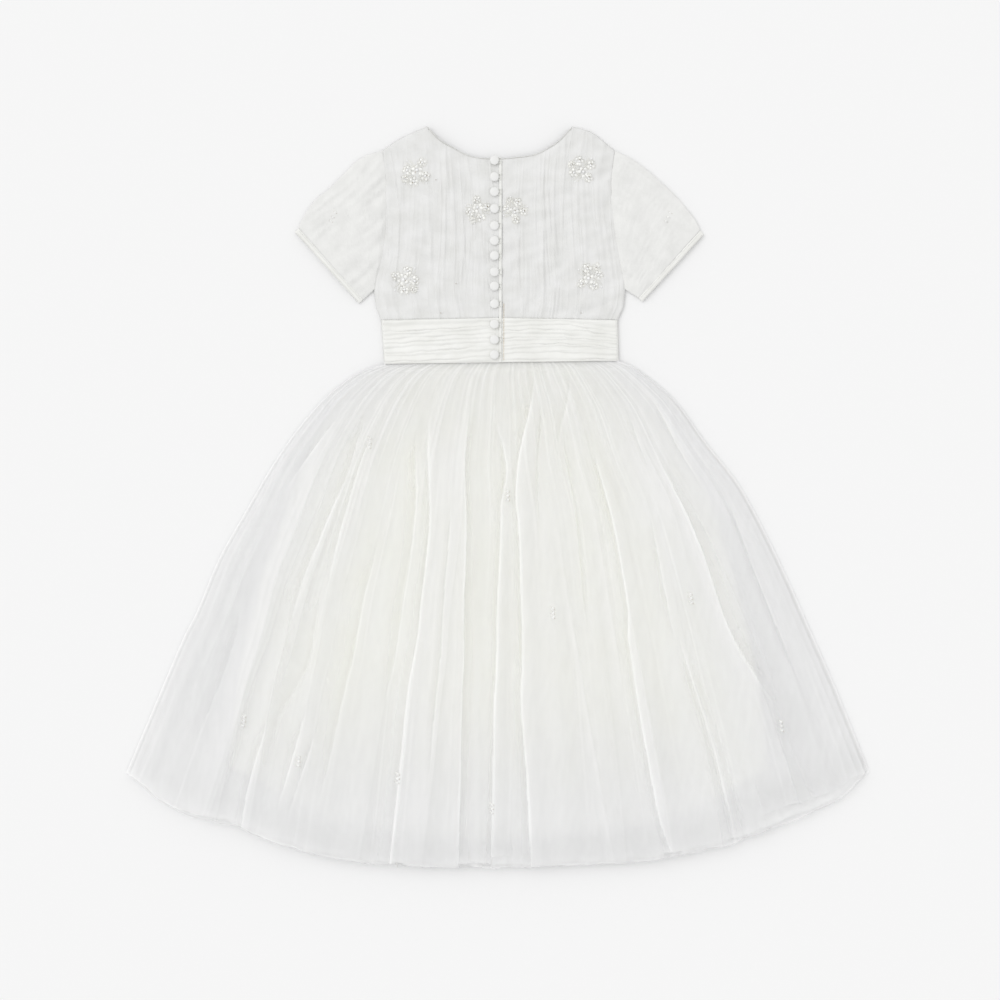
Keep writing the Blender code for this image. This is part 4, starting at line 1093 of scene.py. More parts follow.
def body_of_net(across, down):
    """1 where the petticoat net is ruffled, towards the sides and the hem, and 0 in the middle."""
    beside = ease((np.abs(across) - 0.42) / 0.46)
    below = ease((down - 0.55) / 0.38)
    return 1.0 - (1.0 - beside) * (1.0 - below)


def waist_room(x):
    """Height under the sash, where the layers of the skirt are sewn in."""
    side = np.clip(np.abs(x - OPENING_X) / HALF_BODICE, 0.0, 1.0)
    return 2.0 * BODY_WALL + SEAM + body_lift(side, 0.0) - SEWN_SINK


def top_hem(across, seed):
    """Where the stepped hem of the top skirt lies, as a share of the outline's length."""
    share = np.zeros_like(across)
    for step in HEM_STEPS:
        inside = (across >= step.start) & (across <= step.end)
        place = (across - step.start) / (step.end - step.start)
        share = np.where(inside, step.first + (step.last - step.first) * place, share)
    return share + 0.0016 * wander(across, seed, 0.05)


def skirt_columns(name, count):
    """Places across a layer, from -1 at its left edge to 1 at its right, close at the steps in its hem."""
    places = np.linspace(-1.0, 1.0, count)
    if name == "overskirt_back":
        steps = np.array([step.start for step in HEM_STEPS[1:]])
        places = np.unique(np.concatenate([places, steps - STEP_WIDTH / 2.0, steps + STEP_WIDTH / 2.0]))
    return places


def layer_hem(layer, look, across):
    """Where a layer's uneven hem lies, as a share of the outline's length."""
    if layer.node == "overskirt_back":
        return top_hem(across, look.seed)
    uneven = hem_of(layer, across) + 0.0030 * wander(across, look.seed, 0.12)
    return uneven + 0.0012 * wander(across, look.seed + 50, 0.02)


def layer_height(index, look, place, x, thin, broad, rise):
    """Height of a layer's sheet: its place in the stack, its folds, and its edges at the sides and waist."""
    layer = LAYERS[index]
    is_front = index < FRONT_LAYERS
    own = skirt_height(index, place.across, place.down)
    z = own
    if layer.fold:
        z = z - (1.0 - WAVE_SHARE) * layer.fold * (fold_wave(place.across, place.down) - 0.5)
    if layer.node in CREASE_SHARES:
        fine = (0.16 + 0.25 * near(place.down, NEAR_WAIST)) * thin + 0.2 * broad
        z = z + CREASE_SHARES[layer.node] * (rise + fine)
    if layer.node != "overskirt_back":
        unrest = 0.25 * wander(place.across, look.seed + 20, 0.11) * ease(place.down / 0.2)
        z = z + (1.0 - bell(place.from_edge, INNER_REACH)) * (unrest + (0.25 if is_front else 0.0))
    partner = skirt_height(len(LAYERS) - 1 - index, place.across, place.down)
    reach, apart = SIDE_FOLDS[layer.finish]
    middle = (own + partner) / 2.0 + (-apart if is_front else apart)
    z = between(z, middle, bell(place.from_edge, reach))
    sewn = waist_room(x) * (index + 0.5) / len(LAYERS)
    return np.maximum(between(z, sewn, near(place.down, SEWN_EDGE)), 0.0)


def layer_density_and_painted_shade(layer, look, place, thin, broad, crease_pile_and_painted_shade, line):
    """How many sheets of cloth the eye looks through, and how white they look where they lie in two layers.
    Both carry painted shade as well: fewer sheets and a greyer colour beside the sharp folds of the top
    skirt, and a greyer colour towards its hem.
    """
    near_waist = near(place.down, NEAR_WAIST)
    pile = 1.0 + look.gather * near_waist + (0.16 + 0.30 * near_waist) * thin + 0.45 * broad
    # set a little darker near the waist, and whiter in the broad bands and thin folds
    doubled_and_painted_light = 0.95 - 0.09 * near(place.down, 0.3) + 0.09 * broad + 0.05 * thin
    share = CREASE_SHARES.get(layer.node, 0.0)
    # the sharp folds make the top layers denser and whiter, and the painted shade beside them thinner and
    # greyer
    pile = pile + share * (1.6 * crease_pile_and_painted_shade + 0.8 * line)
    doubled_and_painted_light = doubled_and_painted_light + share * 0.10 * (crease_pile_and_painted_shade + line)
    if layer.node == "overskirt_back":
        # painted shade: the top skirt is coloured greyer towards its hem, less so at the left
        at_left = ease((-0.45 - place.across) / 0.3)
        doubled_and_painted_light = doubled_and_painted_light - 0.24 * ease((place.along - 0.90) / 0.10) * (1.0 - 0.75 * at_left)
    if layer.finish == "net":
        # the net is coloured darker towards the hem in its middle
        middle = 1.0 - 0.75 * ease((np.abs(place.across) - 0.40) / 0.35)
        doubled_and_painted_light = 0.92 - 0.64 * middle * ease((place.down - 0.60) / 0.36) + 0.15 * broad
        if layer.node == "net_back":
            ruffled = 4.0 + 2.6 * middle * ease((place.down - 0.78) / 0.14)
            pile = pile + ruffled * body_of_net(place.across, place.down)
    edge_line = bell(place.from_edge, EDGE_LINE)
    pile = pile + 1.1 * edge_line + 0.5 * bell(place.from_edge, BESIDE_EDGE)
    return pile, doubled_and_painted_light + 0.10 * edge_line


def skirt_layer(index, material):
    """One layer of the skirt, one sheet that lies on the layers below it."""
    layer = LAYERS[index]
    look = SKIRT_LOOKS[layer.node]
    # two rows of points reach up under the sash
    rows_down = np.concatenate([[-0.008, -0.004], np.linspace(0.0, 1.0, look.rows) ** 1.1])
    own_across, own_down = np.meshgrid(skirt_columns(layer.node, look.columns), rows_down, indexing="ij")
    down = own_down * layer_hem(layer, look, own_across)
    across = own_across * along(LINES[layer.edge], down)
    place = Place(across, down, own_down, (1.0 - np.abs(own_across)) * half_width(down))
    x, y = skirt_plan(across, down)
    thin = streaks(across, down, look.seed, look.streaks)
    broad = bands(across, down, look.seed + 5)
    rise, crease_pile_and_painted_shade, line = creased(across, down) if layer.node in CREASE_SHARES else (0.0, 0.0, 0.0)
    z = layer_height(index, look, place, x, thin, broad, rise)
    pile, doubled_and_painted_light = layer_density_and_painted_shade(layer, look, place, thin, broad, crease_pile_and_painted_shade, line)
    cosine, sine = math.cos(look.turn), math.sin(look.turn)
    weave = np.stack([x * cosine - y * sine, x * sine + y * cosine], -1)
    marks = {"cover": 1.0 - (1.0 - look.cover) ** np.maximum(pile, 0.3), "doubled_and_painted_light": doubled_and_painted_light}
    grid = np.stack([x, y, z], -1)
    item = sheet_mesh(layer.node + "_cloth", grid, material, weave, marks, down=index >= FRONT_LAYERS)
    if layer.finish == "lining":
        thicken(item, LINING_THICKNESS)
    return item, grid


# Buttons, loops and sewing
BUTTON_SEGMENTS = 22
DOME_SWELL = 1.06
DOME_FOOT = 0.9
DOME_SINK = 1.1
DOME_TOP = 0.06
DOME_GATHER = 0.012
CORD_RADIUS = 0.00062
CORD_LIFT = 1.15
LOOP_BEND_X = 2.0
Step = namedtuple("Step", "x z")
TAPE_PROFILE = table(Step, (1.9, 0.35), (2.2, 0.75), (3.0, 0.95), (4.6, 0.95), (5.3, 0.75), (5.6, 0.35))
TAPE_TOP_Y = 439.0
TAPE_ROWS = 170


def lathe(name, centre, profile, material, segments=BUTTON_SEGMENTS):
    """Turn a profile of (radius, height) about an upright axis, closed at its foot and its top."""
    points = []
    for radius, height in profile:
        for step in range(segments):
            angle = 2.0 * math.pi * step / segments
            gathered = 0.55 < radius / BUTTON_RADIUS < 1.0
            out = radius * (1.0 + (DOME_GATHER * math.sin(9.0 * angle) if gathered else 0.0))
            points.append((*polar(centre[0], centre[1], out, angle), centre[2] + height))
    faces = [tuple(reversed(range(segments)))]
    for ring in range(len(profile) - 1):
        for step in range(segments):
            a = ring * segments + step
            b = ring * segments + (step + 1) % segments
            faces.append((a, b, b + segments, a + segments))
    last = (len(profile) - 1) * segments
    points.append((centre[0], centre[1], centre[2] + profile[-1][1] + DOME_TOP))
    for step in range(segments):
        faces.append((last + step, last + (step + 1) % segments, len(points) - 1))
    mesh = bpy.data.meshes.new(name)
    mesh.from_pydata(to_metres(points).tolist(), [], faces)
    layer = mesh.uv_layers.new(name="weave")
    flat = to_metres([(p[0] - centre[0], p[1] - centre[1]) for p in points])
    for loop in mesh.loops:
        layer.data[loop.index].uv = flat[loop.vertex_index]
    mesh.shade_smooth()
    mesh.materials.append(material)
    return to_scene(name, mesh)


def button(number, material):
    """A covered button: a satin dome drawn over a mould, on a short shank."""
    low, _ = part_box("button_%02d" % number)
    dome = BUTTON_HEIGHT - SHANK_HEIGHT - DOME_SINK
    profile = [(SHANK_RADIUS, 0.0), (SHANK_RADIUS * 0.9, SHANK_HEIGHT)]
    profile += [(DOME_SWELL * BUTTON_RADIUS * math.cos(angle),
                 SHANK_HEIGHT + DOME_FOOT + (dome - DOME_FOOT) * math.sin(angle))
                for angle in np.linspace(-0.35, 1.45, 11)]
    foot = (BUTTON_X, BUTTON_Y[number - 1], low[2] * 1000.0)
    return lathe("button_%02d_cover" % number, foot, profile, material)


def line_mesh(name, paths):
    """Loose paths of points, one polyline each, for a cord or a row of stitches to follow."""
    points, edges = [], []
    for path in paths:
        first = len(points)
        points += [tuple(point) for point in path]
        edges += [(first + index, first + index + 1) for index in range(len(path) - 1)]
    mesh = bpy.data.meshes.new(name)
    mesh.from_pydata(to_metres(points).tolist(), edges, [])
    return to_scene(name, mesh)


def new_tree(name, *sizes):
    """Start a tree of geometry nodes with named sizes, and hand back its two ends and the sizes' sockets."""
    tree = bpy.data.node_groups.new(name, "GeometryNodeTree")
    tree.interface.new_socket("Geometry", in_out="INPUT", socket_type="NodeSocketGeometry")
    tree.interface.new_socket("Geometry", in_out="OUTPUT", socket_type="NodeSocketGeometry")
    keys = {}
    for label in sizes:
        kind = "NodeSocketInt" if label == "Sides" else "NodeSocketFloat"
        keys[label] = tree.interface.new_socket(label, in_out="INPUT", socket_type=kind).identifier
    return tree, tree.nodes.new("NodeGroupInput"), tree.nodes.new("NodeGroupOutput"), keys


def end_tree(tree, end, geometry, material):
    """Make a tree's instances real, give them their finish and pass them out."""
    real = add(tree, "GeometryNodeRealizeInstances", links={"Geometry": geometry}).outputs["Geometry"]
    painted = add(tree, "GeometryNodeSetMaterial", {"Material": material}, {"Geometry": real})
    tree.links.new(painted.outputs["Geometry"], end.inputs["Geometry"])


def cord_tree(material):
    """A cord along each path, of a given radius."""
    tree, start, end, keys = new_tree("cord along a path", "Radius", "Sides")
    curve = add(tree, "GeometryNodeMeshToCurve", links={"Mesh": start.outputs["Geometry"]})
    ring = add(tree, "GeometryNodeCurvePrimitiveCircle", links={"Radius": start.outputs["Radius"],
                                                                "Resolution": start.outputs["Sides"]})
    swept = add(tree, "GeometryNodeCurveToMesh", {"Fill Caps": True},
                {"Curve": curve.outputs["Curve"], "Profile Curve": ring.outputs["Curve"]})
    smooth = add(tree, "GeometryNodeSetShadeSmooth", links={"Geometry": swept.outputs["Mesh"]})
    end_tree(tree, end, smooth.outputs["Geometry"], material)
    return tree, keys


def stitch_tree(material):
    """Short stitches at an even spacing along each path."""
    tree, start, end, keys = new_tree("row of stitches", "Spacing", "Length", "Radius")
    curve = add(tree, "GeometryNodeMeshToCurve", links={"Mesh": start.outputs["Geometry"]})
    places = add(tree, "GeometryNodeCurveToPoints", links={"Curve": curve.outputs["Curve"],
                                                           "Length": start.outputs["Spacing"]}, mode="LENGTH")
    thread = add(tree, "GeometryNodeMeshCylinder", {"Vertices": 6},
                 {"Radius": start.outputs["Radius"], "Depth": start.outputs["Length"]})
    instance = add(tree, "GeometryNodeInstanceOnPoints",
                   links={"Points": places.outputs["Points"], "Instance": thread.outputs["Mesh"],
                          "Rotation": places.outputs["Rotation"]})
    end_tree(tree, end, instance.outputs["Instances"], material)
    return tree, keys


def bead_tree(shape, material):
    """One bead of a shape on each point, with the point's own size and turn."""
    tree, start, end, keys = new_tree("beads", "Scale")
    bead = add(tree, *BEAD_SHAPES[shape])
    smooth = add(tree, "GeometryNodeSetShadeSmooth", {"Shade Smooth": shape == "round"},
                 {"Geometry": bead.outputs["Mesh"]})
    size = add(tree, "GeometryNodeInputNamedAttribute", {"Name": "size"}, data_type="FLOAT_VECTOR")
    turn = add(tree, "GeometryNodeInputNamedAttribute", {"Name": "turn"}, data_type="FLOAT_VECTOR")
    scaled = add(tree, "ShaderNodeVectorMath", links={0: size.outputs["Attribute"]}, operation="SCALE")
    tree.links.new(start.outputs["Scale"], scaled.inputs["Scale"])
    instance = add(tree, "GeometryNodeInstanceOnPoints",
                   links={"Points": start.outputs["Geometry"], "Instance": smooth.outputs["Geometry"],
                          "Rotation": turn.outputs["Attribute"], "Scale": scaled.outputs["Vector"]})
    end_tree(tree, end, instance.outputs["Instances"], material)
    return tree, keys


def grow(item, tree, keys, sizes):
    """Run a tree of geometry nodes on a piece and keep its result as a plain mesh."""
    modifier = item.modifiers.new("made", "NODES")
    modifier.node_group = tree
    for label, value in sizes.items():
        modifier[keys[label]] = value
    evaluated = item.evaluated_get(bpy.context.evaluated_depsgraph_get())
    mesh = bpy.data.meshes.new_from_object(evaluated)
    item.modifiers.remove(modifier)
    mesh.name = item.name
    item.data = mesh
    return item


def cords(name, paths, material, radius, sides=8):
    """A cord along each path, of a radius in metres."""
    tree, keys = cord_tree(material)
    return grow(line_mesh(name, paths), tree, keys, {"Radius": radius, "Sides": sides})


def stitches(name, paths, material, spacing, length, radius):
    """A row of short stitches along each path, with their sizes in metres."""
    tree, keys = stitch_tree(material)
    return grow(line_mesh(name, paths), tree, keys, {"Spacing": spacing, "Length": length, "Radius": radius})


class Surface:
    """Height of the cloth at any place, read from the grids that it is made of."""

    def __init__(self, *grids):
        self.points = np.concatenate([grid.reshape(-1, 3) for grid in grids])

    def at(self, x, y):
        """Height of the highest of the three points that lie nearest."""
        distance = (self.points[:, 0] - x) ** 2 + (self.points[:, 1] - y) ** 2
        nearest = np.argpartition(distance, 3)[:3]
        return float(self.points[nearest, 2].max())

    def follow(self, plan, lift):
        """The points of a path over the cloth, at a height above it."""
        return [(x, y, self.at(x, y) + lift) for x, y in plan]


def loop_paths(surface):
    """The path of each cord loop, from the opening's edge round a button's shank and back."""
    paths = []
    for y in BUTTON_Y:
        angles = np.linspace(math.pi / 2.0, 1.5 * math.pi, 12)
        plan = [(OPENING_X - 0.6, y + LOOP_RADIUS * 0.8), (LOOP_BEND_X, y + LOOP_RADIUS * 0.95)]
        plan += [polar(BUTTON_X, y, LOOP_RADIUS, angle) for angle in angles]
        plan += [(LOOP_BEND_X, y - LOOP_RADIUS * 0.95), (OPENING_X - 0.6, y - LOOP_RADIUS * 0.8)]
        paths.append(surface.follow(plan, CORD_LIFT))
    return paths


def tape(name, surface, material):
    """The satin tape under the loops, along the edge of the opening."""
    bases = [(y, max(surface.at(3.0, y), surface.at(5.0, y)))
             for y in np.linspace(float(seam_height(OPENING_X, WAIST_SEAM)) + 0.8, TAPE_TOP_Y, TAPE_ROWS)]
    grid = np.array([[(step.x, y, base + step.z) for step in TAPE_PROFILE] for y, base in bases])
    heights = grid[:, :, 2]
    grid[:, :, 2] = (heights + np.roll(heights, 1, 0) + np.roll(heights, -1, 0)) / 3.0
    grid[0, :, 2] = grid[1, :, 2]
    grid[-1, :, 2] = grid[-2, :, 2]
    return sheet_mesh(name, grid, material, weave=grid[..., [1, 0]], down=True), grid


# Beads and sequins
Bead = namedtuple("Bead", "kind x y size lift turn", defaults=(0.0, 0.0))
BEAD_SIZES = {"pearl": 1.0, "crystal": 1.0, "bronze": 0.85, "sequin": 1.0, "bugle": 1.0}
BEAD_SHAPES = {
    "round": ("GeometryNodeMeshUVSphere", {"Radius": 1.0, "Segments": 7, "Rings": 4}),
    "cut": ("GeometryNodeMeshIcoSphere", {"Radius": 1.0, "Subdivisions": 1}),
    "sequin": ("GeometryNodeMeshCone",
               {"Vertices": 9, "Radius Top": 0.35, "Radius Bottom": 1.0, "Depth": 0.3}),
    "tube": ("GeometryNodeMeshCylinder", {"Vertices": 7, "Radius": 0.3, "Depth": 2.0}),
}

Spray = namedtuple("Spray", "x y size turn mirror")
SPRAYS = table(Spray, (-106.0, 422.0, 1.0, 0.5, 1), (110.0, 425.0, 0.96, -0.4, -1),
               (-26.0, 373.5, 0.88, 1.1, 1), (22.5, 372.5, 0.86, -1.0, -1), (-119.5, 281.5, 1.0, 2.2, 1),
               (120.5, 285.5, 0.96, -2.0, -1))
Bloom = namedtuple("Bloom", "out angle radius")
BLOOMS = table(Bloom, (3.0, 0.6, 9.5), (12.0, 2.4, 7.6), (12.0, 4.0, 7.6), (13.0, 5.4, 7.2),
               (14.5, 0.5, 6.6), (16.5, 3.2, 5.4))
Leaf = namedtuple("Leaf", "out angle")
LEAVES = table(Leaf, (7.0, 1.5), (9.0, 3.2), (8.0, 4.8))
SINGLE_BEADS = table(Point, (-80, 412), (-54, 277), (-73.5, 239), (108.6, 239))
SLEEVE_SPRIGS = table(Point, (-214, 364), (221.7, 364))
SKIRT_SPRIGS = [(-.625, .167), (.042, .263), (.193, .497), (.677, .497), (-.758, .778), (-.58, .825),
                (-.292, .825), (-.017, .88), (.833, .802)]
PETALS = 5
PETAL_BEADS = 8
LEAF_BEADS = 5
LEAF_STEP = 2.4
SPRIG_STEP = 5.6


def bloom_beads(x, y, radius, turn):
    """A beaded flower: petals edged with seed beads, a pale sequin in each, and a crystal at its heart."""
    beads = [Bead("crystal", x, y, 0.20 * radius, 0.5, turn)]
    for petal in range(PETALS):
        middle = turn + 2.0 * math.pi * petal / PETALS + 0.2 * math.sin(3.0 * petal + turn)
        length = radius * (0.90 + 0.16 * math.sin(5.0 * petal + 2.0 * turn))
        for step in range(PETAL_BEADS):
            share = (step + 0.5) / PETAL_BEADS
            out = length * (0.30 + 0.70 * math.sin(math.pi * share))
            side = 0.40 * length * math.sin(2.0 * math.pi * share)
            angle = middle + math.atan2(side, out)
            kind = "bugle" if step % 4 == 1 else "pearl"
            beads.append(Bead(kind, *polar(x, y, math.hypot(out, side), angle), 0.66, 0.0, angle))
        beads.append(Bead("sequin", *polar(x, y, 0.62 * length, middle), 0.25 * radius, 0.0, middle))
    beads.append(Bead("bronze", *polar(x, y, 0.34 * radius, turn), 0.7))
    return beads


def flower(spray):
    """A cluster of beaded flowers with leafy sprays of bugle beads between them."""
    beads = []
    for bloom in BLOOMS:
        angle = spray.turn + spray.mirror * bloom.angle
        centre = polar(spray.x, spray.y, spray.size * bloom.out, angle)
        beads += bloom_beads(*centre, spray.size * bloom.radius, angle + bloom.out)
    for leaf in LEAVES:
        for step in range(LEAF_BEADS):
            out = spray.size * (leaf.out + LEAF_STEP * step)
            angle = spray.turn + spray.mirror * (leaf.angle + 0.05 * step)
            for side in (-1, 1):
                spot = polar(spray.x, spray.y, out, angle + side * 0.16)
                beads.append(Bead("bugle", *spot, 1.1, 0.0, angle + side * 0.6))
        tip = polar(spray.x, spray.y, spray.size * (leaf.out + LEAF_STEP * LEAF_BEADS), angle)
        beads.append(Bead("crystal", *tip, 1.1, 0.1))
    return beads


def sprig(x, y, size=1.0, lean=0.0):
    """Three small crystals in a short row, each between two seed beads."""
    beads = []
    for step in (-1, 0, 1):
        px = x + lean * step * SPRIG_STEP
        py = y + step * SPRIG_STEP
        beads += [Bead("sequin", px, py, 1.7 * size), Bead("crystal", px, py, 0.9 * size, 0.6),
                  Bead("bronze", px + 2.3, py - 1.2, 0.55 * size),
                  Bead("pearl", px - 2.0, py + 1.6, 0.9 * size)]
    return beads


def bead_points(name, beads, surface):
    """The points that beads of one kind are set on, each with its size and turn."""
    rng = np.random.default_rng(len(beads))
    points, sizes, turns = [], [], []
    for bead in beads:
        size = bead.size * rng.uniform(0.9, 1.1)
        tilt = rng.normal(0.0, 0.16, 2)
        flatness = 1.0
        height = 0.55 * size
        if bead.kind == "bugle":
            turns.append((math.pi / 2.0, 0.0, bead.turn + math.pi / 2.0))
            height = 0.35 * size
        elif bead.kind == "sequin":
            turns.append((tilt[0] * 1.6, tilt[1] * 1.6, bead.turn))
            height = 0.30
        elif bead.kind == "crystal":
            turns.append((tilt[0], tilt[1], rng.uniform(0.0, 1.2)))
            flatness = 0.75
        else:
            turns.append((tilt[0], tilt[1], 0.0))
            flatness = 0.85
        points.append((bead.x, bead.y, surface.at(bead.x, bead.y) + height + bead.lift))
        sizes.append(to_metres((size, size, size * flatness)))
    mesh = bpy.data.meshes.new(name)
    mesh.from_pydata(to_metres(points).tolist(), [], [])
    for label, rows in (("size", sizes), ("turn", turns)):
        attribute = mesh.attributes.new(label, "FLOAT_VECTOR", "POINT")
        attribute.data.foreach_set("vector", np.array(rows, dtype=np.float32).ravel())
    return to_scene(name, mesh)


# Floor, light and camera
HALF_FLOOR = 6.0
LENS = 120.0
SENSOR = 36.0
CLIP_END = 50.0
VIEW_WIDTH = 1.3
VIEW_LEVEL = 0.006
VIEW_CENTRE = (0.00325, -0.0039)
WORLD_STRENGTH = 0.872
KEY_DIRECTION = (-0.46, 0.40, 0.79)
KEY_STRENGTH = 0.75
KEY_SPREAD = 50.0


def floor():
    """The plain pale surface that the dress lies on."""
    mesh = bpy.data.meshes.new("floor")
    corners = [(x * HALF_FLOOR, y * HALF_FLOOR, 0.0) for x, y in ((-1, -1), (1, -1), (1, 1), (-1, 1))]
    mesh.from_pydata(corners, [], [(0, 1, 2, 3)])
    material, tree, shader = finish("pale paper floor", "#f0f0f0", 0.9, specular=0.1)
    place = add(tree, "ShaderNodeTexCoord").outputs["Object"]
    tooth = add(tree, "ShaderNodeTexNoise", {"Scale": 900.0}, {"Vector": place})
    emboss(tree, shader, tooth.outputs["Fac"], 0.02, 0.0002)
    mesh.materials.append(material)
    to_scene("floor", mesh)


def soft_lamp(name, direction, strength, spread):
    """A wide soft lamp far away, which shines the same on the whole floor."""
    light = bpy.data.lights.new(name, "SUN")
    light.energy = strength
    light.angle = math.radians(spread)
    to_scene(name, light).rotation_euler = Vector(direction).to_track_quat("Z", "Y").to_euler()


def studio():
    """Soft studio light, mostly from above, with a little more from the upper left."""
    world = bpy.data.worlds.new("studio")
    world.use_nodes = True
    world.node_tree.nodes["Background"].inputs["Color"].default_value = (1.0, 1.0, 1.0, 1.0)
    world.node_tree.nodes["Background"].inputs["Strength"].default_value = WORLD_STRENGTH
    bpy.context.scene.world = world
    soft_lamp("key", KEY_DIRECTION, KEY_STRENGTH, KEY_SPREAD)
    bpy.context.scene.view_settings.view_transform = "Standard"


def camera():
    """The camera, straight above the dress, so that a pixel of the picture is 1.3 mm of it."""
    data = bpy.data.cameras.new("camera")
    data.lens = LENS
    data.sensor_width = SENSOR
    data.clip_end = CLIP_END
    item = to_scene("camera", data)
    item.location = (*VIEW_CENTRE, VIEW_WIDTH * LENS / SENSOR + VIEW_LEVEL)
    bpy.context.scene.camera = item


# The whole dress. A cut is in metres: its width and length, the share of that rectangle that the piece fills,
# and how it is held in its form.
Cut = namedtuple("Cut", "width length share held")


def dress(item, slot, node=None, below=None):
    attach(item, "root")
    if node:
        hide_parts(node)


def cloth_pieces(binding):
    """The bodice, the sash, the sleeves and the skirt. Hands back the points of each piece's face."""
    gathered = chiffon("gathered silk chiffon", "#e5e5e4", "#dededc", (1 / 0.0022, 1 / 0.030))
    crinkled = chiffon("crinkled silk chiffon", "#e8e8e6", "#e2e2e0", (1 / 0.0075, 1 / 0.012))
    sash_satin = satin("duchess satin sash", "#ededea", "#e6e6e2", (1 / 0.012, 1 / 0.0009), 0.25)
    finishes = {
        # the tulle's grey tint shows where painted shade lowers its mark, towards the top skirt's hem and
        # beside its folds
        "tulle": mesh_cloth("nylon tulle", "#cccccc", "#ffffff", 0.0022, 0.975, 0.0, 0.62, 0.012),
        "net": mesh_cloth("stiff petticoat net", "#e9e9e9", "#fbfbfb", 0.0034, 0.975, 0.4, 0.7, 0.02),
        "lining": taffeta("ivory lining taffeta", "#fcfcf1", "#f9f9ea"),
    }
    dress(bodice_front("bodice_front_cloth", gathered), "chiffon", "bodice_front", "floor")
    dress(sash_front("sash_front_cloth", sash_satin), "satin", "sash_front", "floor")
    faces = {}
    for label, sign in (("left", -1), ("right", 1)):
        for make, node, material, slot, below in (
                (bodice_back, "bodice_back_" + label, gathered, "chiffon", "bodice_front_cloth"),
                (sash_back, "sash_back_" + label, sash_satin, "satin", "sash_front_cloth"),
                (sleeve, "sleeve_" + label, crinkled, "chiffon", "floor"),
                (cuff, "cuff_" + label, binding, "satin", "floor")):
            item, faces[node] = make(node + "_cloth", sign, material)
            dress(item, slot, node, below)
    below = "floor"
    for index, layer in enumerate(LAYERS):
        item, faces[layer.node] = skirt_layer(index, finishes[layer.finish])
        dress(item, layer.finish, layer.node, below)
        below = item.name
    return faces


def closure(faces, back, binding):
    """The covered buttons, and the cord loops on their tape."""
    button_satin = satin("satin-covered button", "#eaeae9", "#e4e4e2", (1 / 0.0008, 1 / 0.003), 0.2)
    for number in range(1, len(BUTTON_Y) + 1):
        dress(button(number, button_satin), "covered_button", "button_%02d" % number)
    item, tape_face = tape("loop_tape", back, binding)
    dress(item, "satin", None, "bodice_back_left_cloth")
    with_tape = Surface(faces["bodice_back_left"], faces["sash_back_left"], tape_face)
    cord = cord_finish("twisted rayon cord", "#f6f6f3", "#ebebe5", 0.0011)
    dress(cords("loop_cords", loop_paths(with_tape), cord, CORD_RADIUS), "satin", "button_loops")


NECK_ROLL_RADIUS = 0.0005
NECK_ROLL_POINTS = 60
# the stitches beside the opening, in millimetres: how far from it they run, and from where to where
PLACKET_INSET = 2.2
PLACKET_FOOT = 179.0
PLACKET_TOP = 250.0
LOOSE_THREADS = [
    [(-130.5, -470, 16.0), (-130.8, -474, 15.0), (-130.2, -478, 13.0), (-129.8, -480.5, 11.5)],
    [(-113, -469, 14.5), (-108, -472, 14.0), (-104, -476, 12.5), (-103, -479, 11.0), (-100, -480.5, 10.0)],
]


def neck_paths(faces):
    """The rolled edge of the neckline, from each side of the opening to the shoulder."""
    paths = []
    for label, sign in (("left", -1), ("right", 1)):
        surface = Surface(faces["bodice_back_" + label])
        xs = np.linspace(OPENING_X + sign * 0.9, neck_tip(sign).x - sign, NECK_ROLL_POINTS)
        ys = top_edge(xs, sign) - 0.5
        paths.append([(x, y, surface.at(x, y - 0.6) + 0.15) for x, y in zip(xs, ys)])
    return paths


def cuff_paths(faces):
    """Two rows of stitches along each binding."""
    paths = []
    shares = np.linspace(0.03, 0.97, 60)
    for label, sign in (("left", -1), ("right", 1)):
        start, run, outward = cuff_frame(sign)
        surface = Surface(faces["cuff_" + label])
        for distance in (SEAM + 1.1, SEAM + CUFF_WIDTH - 1.2):
            plan = start[None, :] + run[None, :] * shares[:, None] + outward[None, :] * distance
            paths.append(surface.follow(plan, 0.05))
    return paths


def placket_path(faces):
    """A row of beige stitches beside the opening at the sash, a line darker than the cloth around it."""
    right = Surface(faces["bodice_back_right"], faces["sash_back_right"])
    ys = np.linspace(PLACKET_FOOT, PLACKET_TOP, 40)
    return right.follow([(OPENING_X + PLACKET_INSET, y) for y in ys], 0.1)


def sew(faces):
    """The rolled neckline, the stitches of the cuffs and the opening, and the loose threads at the hem."""
    thread = cord_finish("polyester thread", "#e9e9e6", "#deded9", 0.0008)
    beige = cord_finish("beige sewing thread", "#dccfb8", "#cfc0a6", 0.0008)
    dress(cords("neck_roll", neck_paths(faces), thread, NECK_ROLL_RADIUS), "chiffon")
    dress(stitches("cuff_stitches", cuff_paths(faces), thread, 0.0026, 0.0018, 0.00028), "satin")
    dress(stitches("placket_stitches", [placket_path(faces)], beige, 0.0034, 0.0026, 0.0004), "satin")
    dress(cords("loose_threads", LOOSE_THREADS, thread, 0.0005, 6), "tulle")


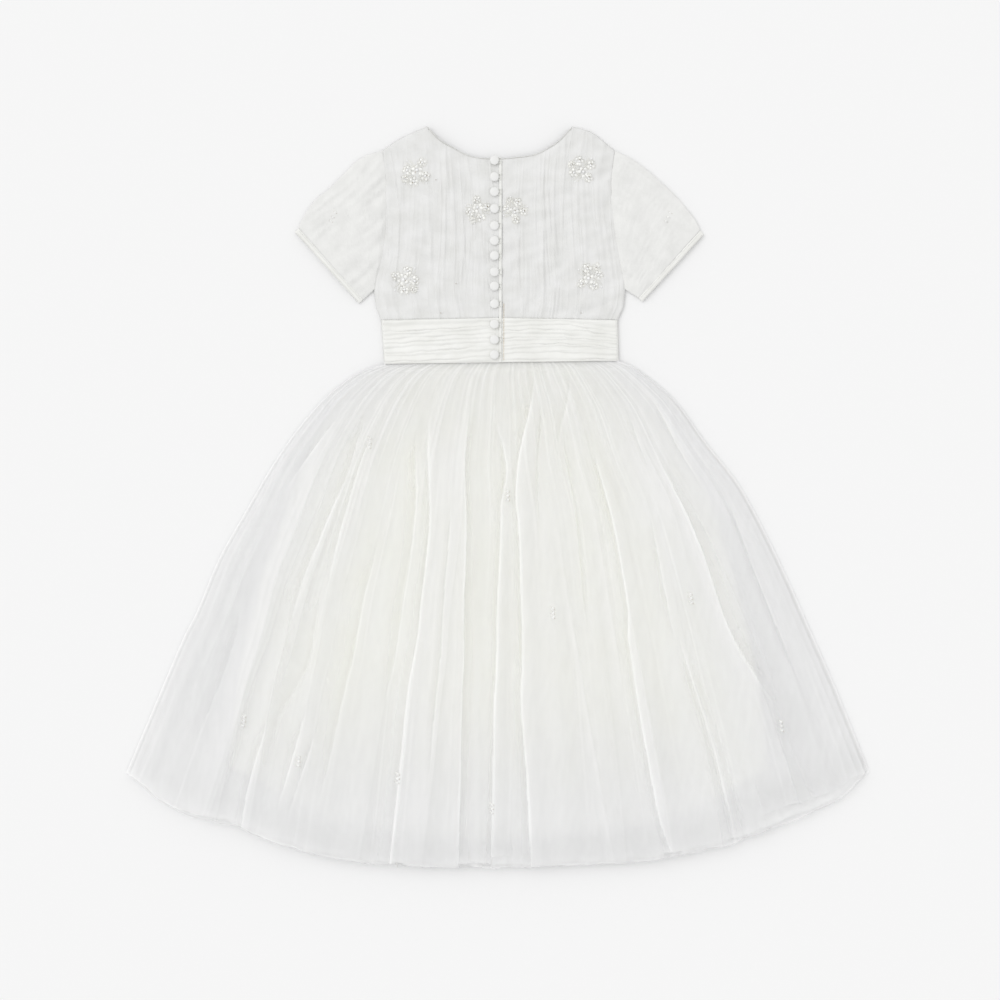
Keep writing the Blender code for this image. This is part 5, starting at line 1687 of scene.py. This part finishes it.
def bead_work(faces, back):
    """The beads, crystals and sequins on the bodice, the sleeves and the skirt."""
    on_bodice = [bead for spray in SPRAYS for bead in flower(spray)]
    for spot in SINGLE_BEADS:
        on_bodice += [Bead("bronze", *spot, 0.6), Bead("crystal", spot.x + 1.6, spot.y + 1.0, 1.0)]
    on_sleeves = [bead for spot in SLEEVE_SPRIGS for bead in sprig(spot.x, spot.y, 0.8, 0.5)]
    on_skirt = []
    for across, down in SKIRT_SPRIGS:
        x, y = skirt_plan(np.array(across), np.array(down))
        on_skirt += sprig(float(x), float(y), 1.0, -0.15 * across)
    places = [
        ("bodice", on_bodice, back, "chiffon"),
        ("sleeve", on_sleeves, Surface(faces["sleeve_left"], faces["sleeve_right"]), "chiffon"),
        ("skirt", on_skirt, Surface(faces["overskirt_back"]), "tulle"),
    ]
    kinds = {
        "pearl": ("round", bead_finish("cream glass seed bead", "#f9f8f3", 0.40, coat=0.2)),
        "crystal": ("cut", bead_finish("cut crystal", "#ffffff", 0.05, coat=0.6, ior=1.55)),
        "bronze": ("round", bead_finish("bronze-lined bead", "#a08c70", 0.30, metallic=0.1, coat=0.3)),
        "sequin": ("sequin", bead_finish("champagne sequin", "#fefefb", 0.30, coat=0.4)),
        "bugle": ("tube", bead_finish("clear bugle bead", "#f6f5ee", 0.30, coat=0.3)),
    }
    for kind, (shape, material) in kinds.items():
        tree, keys = bead_tree(shape, material)
        for place, beads, surface, slot in places:
            chosen = [bead for bead in beads if bead.kind == kind]
            if chosen:
                item = bead_points("%s_%ss" % (place, kind), chosen, surface)
                dress(grow(item, tree, keys, {"Scale": BEAD_SIZES[kind]}), slot)


def main():
    """Make the camera, the light, the floor and every piece of the dress."""
    camera()
    studio()
    floor()
    binding = satin("bias satin binding", "#ededea", "#e7e7e3", (1 / 0.0012, 1 / 0.006), 0.2)
    faces = cloth_pieces(binding)
    back = Surface(*[face for node, face in faces.items() if "back_" in node])
    closure(faces, back, binding)
    sew(faces)
    bead_work(faces, back)


main()
